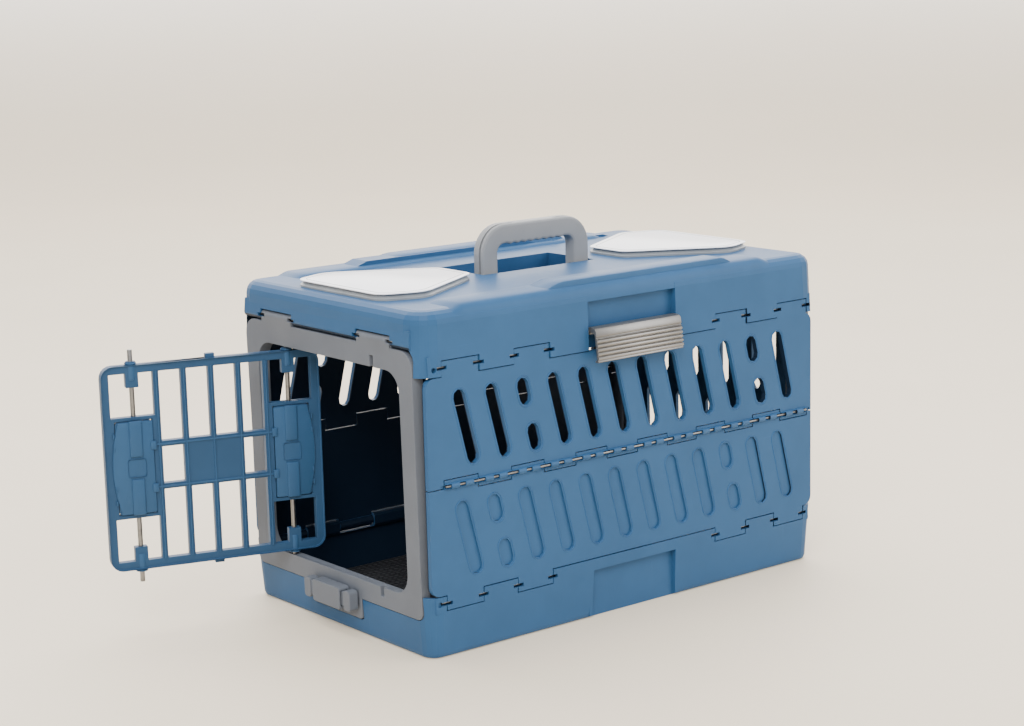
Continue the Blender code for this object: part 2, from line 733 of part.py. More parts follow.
def make_end_frame(name, grey, turn):
    """An end frame that hangs from the lid's end hinge, with a tongue down its middle."""
    half = FRAME_HALF_WIDTH
    tongue = TONGUE_HALF_WIDTH
    outline = rounded(
        [
            (-half, FRAME_BOTTOM, 0.008),
            (-tongue, FRAME_BOTTOM, 0.002),
            (-tongue, TONGUE_BOTTOM, 0.003),
            (tongue, TONGUE_BOTTOM, 0.003),
            (tongue, FRAME_BOTTOM, 0.002),
            (half, FRAME_BOTTOM, 0.008),
            (half, FRAME_TOP, 0.016),
            (-half, FRAME_TOP, 0.016),
        ],
        5,
    )
    shape = bmesh.new()
    add_prism(shape, "X", outline, -FRAME_FACE_BOTTOM, -FRAME_INNER)
    slope = (FRAME_FACE_TOP - FRAME_FACE_BOTTOM) / (FRAME_TOP - FRAME_BOTTOM)
    for vert in shape.verts:
        if vert.co.x < -FRAME_INNER - 0.001:
            vert.co.x -= slope * (vert.co.z - FRAME_BOTTOM)
    frame = part(name, shape, grey, turn, (-FRAME_PIVOT_X, 0, FRAME_PIVOT_Z))
    edge = FRAME_PIVOT_X - FRAME_BARREL
    barrel = arc((-FRAME_PIVOT_X, FRAME_PIVOT_Z), FRAME_BARREL, 0, 180, 10)
    section = barrel + [(-0.2564, 0.2840), (-0.2460, 0.2840), (-edge, 0.2880)]
    tabs = bmesh.new()
    for centre in (-FRAME_TAB_CENTRE, FRAME_TAB_CENTRE):
        low = centre - FRAME_TAB_HALF_WIDTH
        add_prism(tabs, "Y", section, low, centre + FRAME_TAB_HALF_WIDTH)
    join(frame, tabs, turn)
    low = (-OPENING_HALF_WIDTH, OPENING_LOW)
    opening = rectangle(low, (OPENING_HALF_WIDTH, OPENING_HIGH), OPENING_CORNER, 6)
    cut(frame, prism("X", opening, -0.2700, -0.2300), turn)
    # The tongue is thin where it passes outside the tray's floor.
    cut(frame, box((-0.2478, -0.0500, 0.0100), (-0.2400, 0.0500, 0.0362)), turn)
    bore = ROD_RADIUS + ROD_CLEARANCE
    cut(frame, rod("Y", (-FRAME_PIVOT_X, FRAME_PIVOT_Z), bore, -0.1168, 0.1168), turn)
    windows = frame_windows(-1)
    cut(frame, windows, turn)
    return frame


def cut_door_sockets(frame):
    """Round holes for the hinge-side door pins, and notches open to the front for the free side."""
    holes = bmesh.new()
    notches = bmesh.new()
    for low, high in ((SOCKET_LOW, OPENING_LOW + 0.001), (OPENING_HIGH - 0.001, SOCKET_HIGH)):
        add_rod(holes, "Z", (DOOR_X, DOOR_PIN_Y), BOLT_RADIUS + 0.0004, low, high, 12)
        outline = rounded(
            [
                (-0.2600, -DOOR_PIN_Y - 0.0028, 0),
                (-0.2474, -DOOR_PIN_Y - 0.0028, 0.0024),
                (-0.2474, -DOOR_PIN_Y + 0.0028, 0.0024),
                (-0.2600, -DOOR_PIN_Y + 0.0028, 0),
            ]
        )
        add_prism(notches, "Z", outline, low, high)
    cut(frame, holes)
    cut(frame, notches)


def make_frame_rod(name, turn, steel):
    centre = (-FRAME_PIVOT_X, FRAME_PIVOT_Z)
    shape = rod("Y", centre, ROD_RADIUS, -0.1160, 0.1160, 12)
    part(name, shape, steel, turn, (-FRAME_PIVOT_X, 0, FRAME_PIVOT_Z))


HINGE_AXIS = Vector((DOOR_X, DOOR_PIN_Y, 0.0))
DOOR_TURN = (
    Matrix.Translation(HINGE_AXIS)
    @ Matrix.Rotation(-DOOR_OPEN_ANGLE, 4, "Z")
    @ Matrix.Translation(-HINGE_AXIS)
)
DOOR_PIVOT = (DOOR_X, DOOR_PIN_Y, (DOOR_LOW + DOOR_HIGH) / 2)


def door_cells():
    """The openings of the door grille, as (low y, low z, high y, high z)."""
    inner = DOOR_HALF_WIDTH - DOOR_RIM
    bottom = DOOR_LOW + DOOR_RIM
    top = DOOR_HIGH - DOOR_RIM
    bar = DOOR_BAR / 2
    cells = []
    for low, high in zip(DOOR_BARS[:-1], DOOR_BARS[1:]):
        rows = [(bottom, CROSSBARS_Z[0] - bar), (CROSSBARS_Z[1] + bar, top)]
        if abs(low + high) > 0.06:
            rows.append((CROSSBARS_Z[0] + bar, CROSSBARS_Z[1] - bar))
        cells += [(low + bar, z0, high - bar, z1) for z0, z1 in rows]
    for side in (-1, 1):
        for z0, z1 in ((bottom, LATCH_PLATE_LOW - 0.004), (LATCH_PLATE_HIGH + 0.004, top)):
            y0, y1 = sorted((side * (DOOR_BARS[-1] + bar), side * inner))
            cells.append((y0, z0, y1, z1))
    return cells


def make_door(blue):
    """The door grille: rim, bars, a filled middle and a bay for each latch plate."""
    half = DOOR_HALF_WIDTH
    outline = rectangle((-half, DOOR_LOW), (half, DOOR_HIGH), 0.012, 5)
    low_x = DOOR_X - DOOR_HALF_THICKNESS
    high_x = DOOR_X + DOOR_HALF_THICKNESS
    door = part("door_grille", prism("X", outline, low_x, high_x), blue, DOOR_TURN, DOOR_PIVOT)
    extras = bmesh.new()
    for z0, z1 in ((DOOR_LOW - 0.0036, DOOR_LOW + 0.004), (DOOR_HIGH - 0.004, DOOR_HIGH + 0.0042)):
        add_box(extras, (DOOR_X - 0.0030, -0.0045, z0), (DOOR_X + 0.0030, 0.0045, z1))
        for side in (-1, 1):
            sleeve = (z0 + 0.0008, z1 + 0.010) if z0 < 0.1 else (z0 - 0.010, z1 - 0.001)
            add_rod(extras, "Z", (DOOR_X, side * DOOR_PIN_Y), 0.0048, *sleeve, 14)
    join(door, extras, DOOR_TURN)
    openings = bmesh.new()
    sleeve = (DOOR_PIN_Y - SLEEVE_HALF_WIDTH, DOOR_PIN_Y + SLEEVE_HALF_WIDTH)
    for y0, z0, y1, z1 in door_cells():
        if max(abs(y0), abs(y1)) < 0.09:
            add_box(openings, (low_x - 0.004, y0, z0), (high_x + 0.004, y1, z1))
            continue
        # The latch columns keep a guide sleeve beside the rim.
        near = (z0 + SLEEVE_LENGTH, z1) if z0 < 0.1 else (z0, z1 - SLEEVE_LENGTH)
        side = 1 if y0 > 0 else -1
        a, b = sorted((side * sleeve[0], side * sleeve[1]))
        corners = [(y0, z0), (a, z0), (a, near[0]), (b, near[0]), (b, z0), (y1, z0), (y1, z1), (y0, z1)]
        if z0 > 0.1:
            corners = [(y0, z0), (y1, z0), (y1, z1), (b, z1), (b, near[1]), (a, near[1]), (a, z1), (y0, z1)]
        add_prism(openings, "X", corners, low_x - 0.004, high_x + 0.004)
    cut(door, openings, DOOR_TURN)
    bays = bmesh.new()
    bores = bmesh.new()
    for side in (-1, 1):
        y0, y1 = sorted((side * (LATCH_PLATE_INNER - 0.0004), side * (LATCH_PLATE_OUTER + 0.0004)))
        low = (low_x - 0.004, y0, LATCH_PLATE_LOW - 0.0004)
        add_box(bays, low, (high_x + 0.004, y1, LATCH_PLATE_HIGH + 0.0004))
        centre = (DOOR_X, side * DOOR_PIN_Y)
        bore = BOLT_RADIUS + ROD_CLEARANCE
        add_rod(bores, "Z", centre, bore, DOOR_LOW - 0.012, LATCH_PLATE_LOW + 0.002, 12)
        add_rod(bores, "Z", centre, bore, LATCH_PLATE_HIGH - 0.002, DOOR_HIGH + 0.012, 12)
    cut(door, bays, DOOR_TURN)
    cut(door, bores, DOOR_TURN)


def make_latch_set(side_name, side, blue, steel):
    """One latch plate with two bolts, their finger tabs and their springs."""
    centre_y = side * DOOR_PIN_Y
    inner = side * LATCH_PLATE_INNER
    outer = side * LATCH_PLATE_OUTER
    low_x = DOOR_X - 0.0060
    high_x = DOOR_X + 0.0045
    y0, y1 = sorted((inner, outer))
    outline = rectangle((y0, LATCH_PLATE_LOW), (y1, LATCH_PLATE_HIGH), 0.003, 3)
    shape = prism("X", outline, low_x, high_x)
    plate = part(f"{side_name}_latch_plate", shape, blue, DOOR_TURN, DOOR_PIVOT)
    middle = (LATCH_PLATE_LOW + LATCH_PLATE_HIGH) / 2
    bore = BOLT_RADIUS + ROD_CLEARANCE
    centre = (DOOR_X, centre_y)
    hole = rod("Z", centre, bore, LATCH_PLATE_LOW - 0.001, LATCH_PLATE_HIGH + 0.001, 12)
    cut(plate, hole, DOOR_TURN)
    windows = bmesh.new()
    for way in (-1, 1):
        z0, z1 = sorted((middle + way * 0.0065, middle + way * 0.0385))
        add_box(windows, (low_x - 0.001, centre_y - 0.0068, z0), (high_x - 0.0012, centre_y + 0.0068, z1))
    cut(plate, windows, DOOR_TURN)
    for level, way in (("upper", 1), ("lower", -1)):
        tip = BOLT_HIGH_TIP if way > 0 else BOLT_LOW_TIP
        root = middle + way * 0.0215
        z0, z1 = sorted((root, tip))
        shape = rod("Z", (DOOR_X, centre_y), BOLT_RADIUS, z0, z1, 12)
        part(f"{side_name}_{level}_bolt", shape, steel, DOOR_TURN, (DOOR_X, centre_y, root))
        z0, z1 = sorted((middle + way * 0.0200, middle + way * 0.0380))
        outline = rectangle((centre_y - 0.0063, z0), (centre_y + 0.0063, z1), 0.001, 2)
        shape = prism("X", outline, low_x - 0.0016, high_x - 0.0017)
        name = f"{side_name}_{level}_finger_tab"
        tab = part(name, shape, blue, DOOR_TURN, (DOOR_X, centre_y, root))
        z0, z1 = sorted((root - way * 0.0004, middle + way * 0.0400))
        cut(tab, rod("Z", (DOOR_X, centre_y), BOLT_RADIUS + 0.0003, z0, z1, 12), DOOR_TURN)
        start = middle + way * 0.0068
        make_spring(f"{side_name}_{level}_spring", centre_y, start, middle + way * 0.0197, steel)


def make_spring(name, centre_y, start, end, steel):
    """A small compression spring standing along Z, swept as a wire."""
    turns = 4
    steps = turns * 6
    curve = bpy.data.curves.new(name, "CURVE")
    curve.dimensions = "3D"
    curve.bevel_depth = 0.00035
    curve.bevel_resolution = 1
    curve.use_fill_caps = True
    wire = curve.splines.new("POLY")
    wire.points.add(steps)
    low, high = sorted((start, end))
    for step in range(steps + 1):
        angle = 2 * math.pi * turns * step / steps
        x = 0.0024 * math.cos(angle)
        y = 0.0024 * math.sin(angle)
        z = low + 0.0006 + (high - low - 0.0012) * step / steps
        wire.points[step].co = (x, y, z, 1.0)
    guide = bpy.data.objects.new(name + "_wire", curve)
    PARTS.objects.link(guide)
    bpy.context.view_layer.update()
    evaluated = guide.evaluated_get(bpy.context.evaluated_depsgraph_get())
    mesh = bpy.data.meshes.new_from_object(evaluated)
    shape = bmesh.new()
    shape.from_mesh(mesh)
    bmesh.ops.remove_doubles(shape, verts=shape.verts, dist=0.00001)
    bmesh.ops.translate(shape, verts=shape.verts, vec=(DOOR_X, centre_y, 0))
    bpy.data.objects.remove(guide)
    part(name, shape, steel, DOOR_TURN, (DOOR_X, centre_y, low))


def make_frame_latch(name, turn, grey):
    """The box latch on an end frame's tongue, and the two pinch buttons in its ends."""
    low, high = 0.0240, 0.0460
    face = 0.2665
    outline = rectangle((-0.0230, low), (0.0230, high), 0.003, 3)
    shape = prism("X", outline, -face, -0.2540)
    housing = part(f"{name}_latch_housing", shape, grey, turn, (-0.2535, 0, 0.035))
    cut(housing, box((-face + 0.0024, -0.0300, low + 0.0030), (-0.2565, 0.0300, high - 0.0030)), turn)
    for side, way in (("right", -1), ("left", 1)):
        y0, y1 = sorted((way * 0.0280, way * 0.0390))
        ear = rectangle((y0, low + 0.0010), (y1, high - 0.0010), 0.0035, 4)
        shape = prism("X", ear, -face + 0.0010, -0.2550)
        button = part(f"{name}_latch_button_{side}", shape, grey, turn, (-0.2600, way * 0.034, 0.035))
        y0, y1 = sorted((way * 0.0070, way * 0.0310))
        shank = box((-face + 0.0030, y0, low + 0.0036), (-0.2571, y1, high - 0.0036))
        join(button, shank, turn)


def make_rear_grille(blue):
    """A fixed vent panel in the rear frame."""
    half = OPENING_HALF_WIDTH - 0.0006
    low = OPENING_LOW + 0.0006
    high = OPENING_HIGH - 0.0006
    outline = rectangle((-half, low), (half, high), OPENING_CORNER - 0.001, 6)
    grille = part("rear_vent_grille", prism("X", outline, 0.2460, 0.2510), blue)
    slots = bmesh.new()
    for row in (-1, 1):
        for column in range(-4, 5):
            centre = (column * 0.0240, (low + high) / 2 + row * 0.0480)
            add_prism(slots, "X", stadium(centre, 0.0120, 0.0760, 0.0, 3), 0.2400, 0.2560)
    cut(grille, slots)


def make_windows(silver, white):
    """The raised bezel and the frosted panel at each end of the lid's top."""
    for name, turn in (("front", STRAIGHT), ("rear", HALF_TURN)):
        outer = [
            (-0.0950, 0.0280, 0.014),
            (-0.0950, -0.0280, 0.014),
            (-0.1970, -0.0880, 0.030),
            (-0.2430, -0.0700, 0.018),
            (-0.2430, 0.0700, 0.018),
            (-0.1970, 0.0880, 0.030),
        ]
        inner = [
            (-0.1040, 0.0215, 0.009),
            (-0.1040, -0.0215, 0.009),
            (-0.1960, -0.0795, 0.024),
            (-0.2350, -0.0640, 0.014),
            (-0.2350, 0.0640, 0.014),
            (-0.1960, 0.0795, 0.024),
        ]
        base = LID_TOP + 0.0003
        shape = prism("Z", rounded(outer, 5), base, 0.3335)
        bezel = part(f"{name}_window_bezel", shape, silver, turn, (-0.170, 0, base))
        cut(bezel, prism("Z", rounded(inner, 5), base - 0.002, 0.3400), turn)
        centre = Vector((-0.172, 0.0))
        pane = []
        for x, y in rounded(inner, 5):
            inward = (centre - Vector((x, y))).normalized() * 0.0004
            pane.append((x + inward.x, y + inward.y))
        shape = prism("Z", pane, base, 0.3322)
        part(f"{name}_window_panel", shape, white, turn, (-0.170, 0, base))


def make_handle(grey, steel):
    """The carrying handle, its channel and its two pivot pins."""
    outline = rounded(
        [
            (-HANDLE_OUTER, 0.3140, 0.006),
            (-HANDLE_INNER, 0.3140, 0.006),
            (-HANDLE_INNER, HANDLE_UNDERSIDE, 0.012),
            (HANDLE_INNER, HANDLE_UNDERSIDE, 0.012),
            (HANDLE_INNER, 0.3140, 0.006),
            (HANDLE_OUTER, 0.3140, 0.006),
            (HANDLE_OUTER, HANDLE_TOP, 0.028),
            (-HANDLE_OUTER, HANDLE_TOP, 0.028),
        ],
        6,
    )
    shape = prism("Y", outline, -HANDLE_HALF_DEPTH, HANDLE_HALF_DEPTH)
    handle = part("handle", shape, grey, STRAIGHT, (0, 0, HANDLE_PIVOT_Z))
    channel = bmesh.new()
    for way in (-1, 1):
        outer = way * (HANDLE_OUTER + 0.004)
        inner = way * (HANDLE_OUTER - 0.007)
        outline = rounded(
            [
                (outer, 0.3360, 0),
                (inner, 0.3360, 0.003),
                (inner, 0.3470, 0.020),
                (way * 0.0450, HANDLE_TOP - 0.0050, 0),
                (outer, HANDLE_TOP + 0.004, 0),
            ]
        )
        add_prism(channel, "Y", outline, 0.0010, 0.0050)
    cut(handle, channel)
    bore = HANDLE_PIN_RADIUS + ROD_CLEARANCE
    cut(handle, rod("X", (0, HANDLE_PIVOT_Z), bore, -0.0800, 0.0800))
    for name, way in (("front", -1), ("rear", 1)):
        low, high = sorted((way * 0.0470, way * 0.0765))
        shape = rod("X", (0, HANDLE_PIVOT_Z), HANDLE_PIN_RADIUS, low, high, 12)
        part(f"handle_pin_{name}", shape, steel, STRAIGHT, (0, 0, HANDLE_PIVOT_Z))


def make_lid_latch(side, turn, silver, steel):
    """The ribbed latch in one long side of the lid, and its pin."""
    outline = [
        (-0.1472, 0.2868),
        (-0.1500, 0.2880),
        (-0.1578, 0.2876),
        (-0.1605, 0.2860),
        (-0.1617, 0.2832),
        (-0.1650, 0.2570),
        (-0.1640, 0.2552),
        (-0.1600, 0.2552),
        (-0.1600, 0.2570),
        (-0.1622, 0.2578),
        (-0.1592, 0.2815),
        (-0.1572, 0.2833),
        (-0.1535, 0.2833),
        (-0.1518, 0.2812),
        (-0.1490, 0.2806),
        (-0.1468, 0.2822),
        (-0.1462, 0.2845),
    ]
    pivot = (0, -LATCH_PIVOT_Y, LATCH_PIVOT_Z)
    shape = prism("X", outline, -LATCH_HALF_LENGTH, LATCH_HALF_LENGTH)
    latch = part(f"{side}_lid_latch", shape, silver, turn, pivot)
    ribs = bmesh.new()
    for step in range(5):
        z = 0.2595 + step * 0.0042
        y = -0.1650 + 0.0033 * (z - 0.2570) / 0.0262
        add_rod(ribs, "X", (y + 0.0002, z), 0.0012, -0.0535, 0.0535, 8)
    join(latch, ribs, turn)
    bore = ROD_RADIUS + ROD_CLEARANCE
    cut(latch, rod("X", (-LATCH_PIVOT_Y, LATCH_PIVOT_Z), bore, -0.0700, 0.0700, 12), turn)
    shape = rod("X", (-LATCH_PIVOT_Y, LATCH_PIVOT_Z), ROD_RADIUS, -0.0586, 0.0586, 12)
    part(f"{side}_lid_latch_pin", shape, steel, turn, pivot)


def smooth_round_faces():
    for obj in PARTS.objects:
        obj.data.shade_smooth()
        obj.data.set_sharp_from_angle(angle=math.radians(35))


def main():
    blue = plastic("body_blue", BODY_BLUE, 0.42)
    door_blue = plastic("door_blue", DOOR_BLUE, 0.45)
    grey = plastic("frame_grey", FRAME_GREY, 0.45)
    handle_grey = plastic("handle_grey", HANDLE_GREY, 0.40)
    silver = plastic("latch_silver", LATCH_SILVER, 0.30, 0.6)
    white = plastic("window_white", WINDOW_WHITE, 0.25)
    rubber = plastic("mat_grey", MAT_GREY, 0.80)
    steel = plastic("rod_steel", STEEL, 0.28, 1.0)
    make_base(blue)
    make_floor_mat(rubber)
    for side, turn in (("right", STRAIGHT), ("left", HALF_TURN)):
        make_panel(f"{side}_lower_panel", False, blue, turn)
        make_panel(f"{side}_upper_panel", True, blue, turn)
        make_rods(side, turn, steel)
        make_lid_latch(side, turn, silver, steel)
    make_lid(blue)
    make_windows(silver, white)
    make_handle(handle_grey, steel)
    front = make_end_frame("front_frame", grey, STRAIGHT)
    cut_door_sockets(front)
    make_end_frame("rear_frame", grey, HALF_TURN)
    for end, turn in (("front", STRAIGHT), ("rear", HALF_TURN)):
        make_frame_rod(f"{end}_frame_rod", turn, steel)
        make_frame_latch(end, turn, grey)
    make_rear_grille(door_blue)
    make_door(door_blue)
    make_latch_set("hinge_side", 1, door_blue, steel)
    make_latch_set("free_side", -1, door_blue, steel)
    smooth_round_faces()


main()
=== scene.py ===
"""Looks of a folding pet transport carrier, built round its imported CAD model.

Metres, +Z up. +X runs along the carrier's length and the door end is at -X.
The right long side is at -Y. The door is drawn closed and then swung open.
"""

import json
import math

import bmesh
import bpy
from mathutils import Matrix, Vector


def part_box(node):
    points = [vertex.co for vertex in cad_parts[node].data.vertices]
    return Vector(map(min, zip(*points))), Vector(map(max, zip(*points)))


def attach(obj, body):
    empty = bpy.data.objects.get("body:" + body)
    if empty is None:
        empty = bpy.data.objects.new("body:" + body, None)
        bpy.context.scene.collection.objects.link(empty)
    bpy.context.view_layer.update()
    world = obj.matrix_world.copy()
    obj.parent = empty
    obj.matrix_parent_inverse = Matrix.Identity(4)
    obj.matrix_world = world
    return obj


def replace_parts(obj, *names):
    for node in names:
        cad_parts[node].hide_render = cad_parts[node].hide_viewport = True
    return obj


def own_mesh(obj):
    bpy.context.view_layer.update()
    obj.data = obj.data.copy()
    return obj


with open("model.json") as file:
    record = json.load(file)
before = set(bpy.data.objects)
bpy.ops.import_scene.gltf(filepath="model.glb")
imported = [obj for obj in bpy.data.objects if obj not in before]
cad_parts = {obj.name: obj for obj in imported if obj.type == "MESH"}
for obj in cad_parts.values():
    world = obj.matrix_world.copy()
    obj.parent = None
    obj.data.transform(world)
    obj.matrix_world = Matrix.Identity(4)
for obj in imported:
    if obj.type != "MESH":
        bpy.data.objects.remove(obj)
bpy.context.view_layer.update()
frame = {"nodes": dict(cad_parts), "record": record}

# All pieces
SHARP_ANGLE = math.radians(34)
ROOT_DEPTH = 0.0010

# Cabin, where the body's plastic is in shadow, painted on as darker colour
CABIN_TOP = 0.3180
CABIN_SIDE = 0.1400
CABIN_END = 0.1500

# Rails on the lid
EASE_STEPS = 5

# Windows in the lid's top
WINDOW_ROOT_Z = 0.3258
SHEET_Z = 0.3319
SHEET_THICKNESS = 0.0010
SHEET_INSET = 0.0068

# Side latches and the bays they lie in
BAY_HALF_LENGTH = 0.0565
BAY_BACK_Y = 0.1450
LATCH_HALF_LENGTH = 0.0550
LATCH_RIBS = 5
LATCH_RIBS_LOW = 0.2572
LATCH_RIBS_HIGH = 0.2772

# Door, as it lies when closed
DOOR_X = -0.2500
DOOR_PIN_Y = 0.077
DOOR_HALF_WIDTH = 0.1075
DOOR_LOW = 0.0620
DOOR_HIGH = 0.2632
DOOR_INNER_FACE = -0.2460
DOOR_CORNER = 0.012
DOOR_OPEN_ANGLE = math.radians(107)
DOOR_BARS = (-0.054, -0.027, 0.0, 0.027, 0.054)
CROSSBARS_Z = (0.1415, 0.1835)
PLATE_LOW = 0.117
PLATE_HIGH = 0.2085
PLATE_INNER = 0.0600
PLATE_OUTER = 0.0960
PLATE_MIDDLE = (PLATE_LOW + PLATE_HIGH) / 2

# Handle
HANDLE_SPAN = 0.0595
HANDLE_BAR_Z = 0.3635
HANDLE_FOOT_Z = 0.3140
HANDLE_BEND = 0.0190
HANDLE_HALF_WIDTH = 0.0100
HANDLE_HALF_DEPTH = 0.0080
HANDLE_CORNER = 0.0030
CHANNEL_DEPTH = 0.0120
CHANNEL_FOOT_Z = 0.3235
FINGERS_HALF_LENGTH = 0.0370
FINGER_PITCH = 0.0092
FINGER_RISE = 0.00055

# Door bolts and their springs
BOLT_STOUTNESS = 1.22
SPRING_FOOT_HIGH = 0.16955
SPRING_FOOT_LOW = 0.15595

# Slots in the side panels
SLOT_COLUMNS = 12
SLOT_PITCH = 0.0372
SLOT_WIDTH = 0.0135
SLOT_HEIGHT = 0.0720
SLOT_SLANT = 0.0179
SLOT_GAP = 0.018
UPPER_SLOTS_Z = 0.2155
LOWER_SLOTS_Z = 0.1106
UPPER_SPLIT = (2, 10)
LOWER_SPLIT = (1, 9)
LIP_STEPS = 10
LIP_WIDTH = 0.0016
LIP_ROOT_Y = -0.1510
LIP_TOP_Y = -0.1521

# Stage
FLOOR_FRONT = -4.0
FLOOR_HALF_WIDTH = 6.0
BACKDROP_START = 3.2
BACKDROP_RADIUS = 1.2
BACKDROP_TOP = 5.0
CAMERA_LENS = 76.72
CAMERA_PLACE = (-1.3818, -1.707, 0.6512)
CAMERA_YAW = math.radians(38.39)
CAMERA_DOWN = math.radians(10.96)
CAMERA_ROLL = math.radians(-1.45)


# --- Shader arithmetic -----------------------------------------------------


class Wire:
    """A number carried by a socket. Arithmetic on it adds Math nodes."""

    def __init__(self, paint, socket):
        self.paint = paint
        self.socket = socket

    def maths(self, operation, *values):
        return self.paint.node("Math", {"operation": operation}, dict(enumerate(values)))

    def __add__(self, other):
        return self.maths("ADD", self, other)

    def __sub__(self, other):
        return self.maths("SUBTRACT", self, other)

    def __mul__(self, other):
        return self.maths("MULTIPLY", self, other)

    def __gt__(self, other):
        return self.maths("GREATER_THAN", self, other)

    def __lt__(self, other):
        return self.maths("LESS_THAN", self, other)

    def __abs__(self):
        return self.maths("ABSOLUTE", self)

    def wave(self):
        return self.maths("SINE", self)

    __radd__ = __add__


class Paint:
    """A material and its node tree."""

    def __init__(self, name, **constants):
        self.material = bpy.data.materials.new(name)
        self.material.use_nodes = True
        self.tree = self.material.node_tree
        self.shader = self.tree.nodes["Principled BSDF"]
        self.surface(**constants)

    def node(self, kind, settings=None, sockets=None, output=0):
        """Adds a node of a kind. Settings are set first, then the sockets' values or links."""
        node = self.tree.nodes.new("ShaderNode" + kind)
        for key, value in (settings or {}).items():
            setattr(node, key, value)
        for key, value in (sockets or {}).items():
            self.feed(node.inputs[key], value)
        return Wire(self, node.outputs[output])

    def feed(self, socket, value):
        """Links a wire to a socket, or sets the socket's value."""
        if isinstance(value, Wire):
            self.tree.links.new(value.socket, socket)
        elif socket.type == "RGBA":
            socket.default_value = (*value, 1.0)
        else:
            socket.default_value = value

    def surface(self, **values):
        """Sets the shader's sockets. An underscore in a name stands for a space."""
        for key, value in values.items():
            self.feed(self.shader.inputs[key.replace("_", " ")], value)

    def split(self, vector):
        """A vector's three parts."""
        return [self.node("SeparateXYZ", None, {0: vector}, output) for output in (0, 1, 2)]

    def place(self, scale=(1.0, 1.0, 1.0)):
        """Object coordinates, stretched."""
        spot = self.node("TexCoord", output=3)
        return self.node("Mapping", None, {"Vector": spot, "Scale": scale})

    def noise(self, size, scale=(1.0, 1.0, 1.0), detail=3.0, rough=0.55):
        """Noise from 0 to 1 whose lumps are about this size in metres."""
        sockets = {"Vector": self.place(scale), "Scale": 1.0 / size}
        sockets.update({"Detail": detail, "Roughness": rough})
        return self.node("TexNoise", None, sockets)

    def band(self, value, low, high):
        """Rises smoothly from 0 at low to 1 at high."""
        sockets = {"Value": value, "From Min": low, "From Max": high}
        return self.node("MapRange", {"interpolation_type": "SMOOTHSTEP"}, sockets)

    def mix(self, factor, first, second):
        """Blends two colours."""
        return self.node("Mix", {"data_type": "RGBA"}, {0: factor, 6: first, 7: second}, 2)

    def bump(self, height, depth):
        """A normal tilted by a height, which is this deep in metres."""
        return self.node("Bump", None, {"Height": height, "Distance": depth})


def shade(colour, factor):
    """A lighter or darker colour."""
    return tuple(min(1.0, part * factor) for part in colour)


def cabin_shade_mask(paint):
    """Where shade is painted: 1 on the faces turned towards the cabin and 0 outside, from their place
    and direction.
    """
    x, y, z = paint.split(paint.node("TexCoord", output=3))
    out_x, out_y, out_z = paint.split(paint.node("TexCoord", output=1))
    low = z < CABIN_TOP
    inward = (y * out_y < -0.010) * (abs(y) > CABIN_SIDE) * low
    endward = (x * out_x < -0.020) * (abs(x) > CABIN_END) * low
    ceiling = (out_z < -0.40) * (abs(y) < CABIN_SIDE) * (z > 0.2500)
    floor = (out_z > 0.50) * (z < 0.0100)
    slot_edges = (abs(out_y) < 0.50) * (abs(y) < 0.1470) * (z > 0.0600) * (z < 0.2600)
    return (inward + endward + ceiling + floor + slot_edges) > 0.5


def moulded(name, colour, roughness, grain=0.00005, painted_cabin_shade=0.0):
    """Moulded plastic: fine spark grain, faint mottling, sink marks and hairline scratches, and, when
    asked, painted shade near black on the faces inside the cabin.
    """
    paint = Paint(name, Specular_IOR_Level=0.15)
    mottle = paint.noise(0.11, detail=2.0)
    cloudy = paint.noise(0.022, detail=4.0)
    scratches = paint.band(paint.noise(0.0035, (0.06, 1.0, 1.0), 2.0), 0.70, 0.76)
    crossing = paint.band(paint.noise(0.0040, (1.0, 1.0, 0.05), 2.0), 0.71, 0.77)
    marks = (scratches + crossing) * paint.band(mottle, 0.45, 0.65)
    patches = paint.band(mottle * 0.6 + cloudy * 0.4, 0.35, 0.65)
    tone = paint.mix(patches, shade(colour, 0.95), shade(colour, 1.05))
    tone = paint.mix(marks * 0.16, tone, shade(colour, 1.5))
    # Painted shade: faces inside the cabin and the slots' side faces are darkened towards near black.
    if painted_cabin_shade:
        tone = paint.mix(cabin_shade_mask(paint) * painted_cabin_shade, tone, (0.006, 0.011, 0.022))
    spark = paint.noise(0.0009, detail=2.0, rough=0.6)
    sink = paint.noise(0.030, detail=1.0)
    relief = paint.bump(spark * 1.0 + marks * 0.5 + sink * 3.0, grain)
    paint.surface(Base_Color=tone, Normal=relief)
    paint.surface(Roughness=roughness - 0.05 + cloudy * 0.10 - marks * 0.10 + spark * 0.05)
    return paint.material


def silvered(name, colour, metallic, roughness):
    """Plastic with a metallic finish, drawn along its length and rubbed at random."""
    paint = Paint(name, Specular_IOR_Level=0.5)
    drawn = paint.noise(0.0011, (0.02, 1.0, 1.0), 3.0)
    worn = paint.noise(0.025, detail=4.0)
    patches = paint.band(worn, 0.4, 0.7)
    paint.surface(Base_Color=paint.mix(patches, shade(colour, 0.93), shade(colour, 1.06)))
    paint.surface(Roughness=roughness + drawn * 0.12 + worn * 0.08, Metallic=metallic)
    paint.surface(Normal=paint.bump(drawn * 0.3 + worn * 0.7, 0.00001))
    return paint.material


def steel_wire(name):
    """Bright drawn wire: draw lines round it, and dull spots."""
    paint = Paint(name, Metallic=1.0)
    lines = paint.noise(0.0007, (1.0, 1.0, 0.15), 3.0)
    spots = paint.noise(0.006, detail=4.0)
    dull = paint.band(spots, 0.45, 0.80)
    paint.surface(Base_Color=paint.mix(dull, (0.27, 0.265, 0.26), (0.20, 0.195, 0.19)))
    paint.surface(Roughness=0.34 + dull * 0.08 + lines * 0.06)
    paint.surface(Normal=paint.bump(lines, 0.00003))
    return paint.material


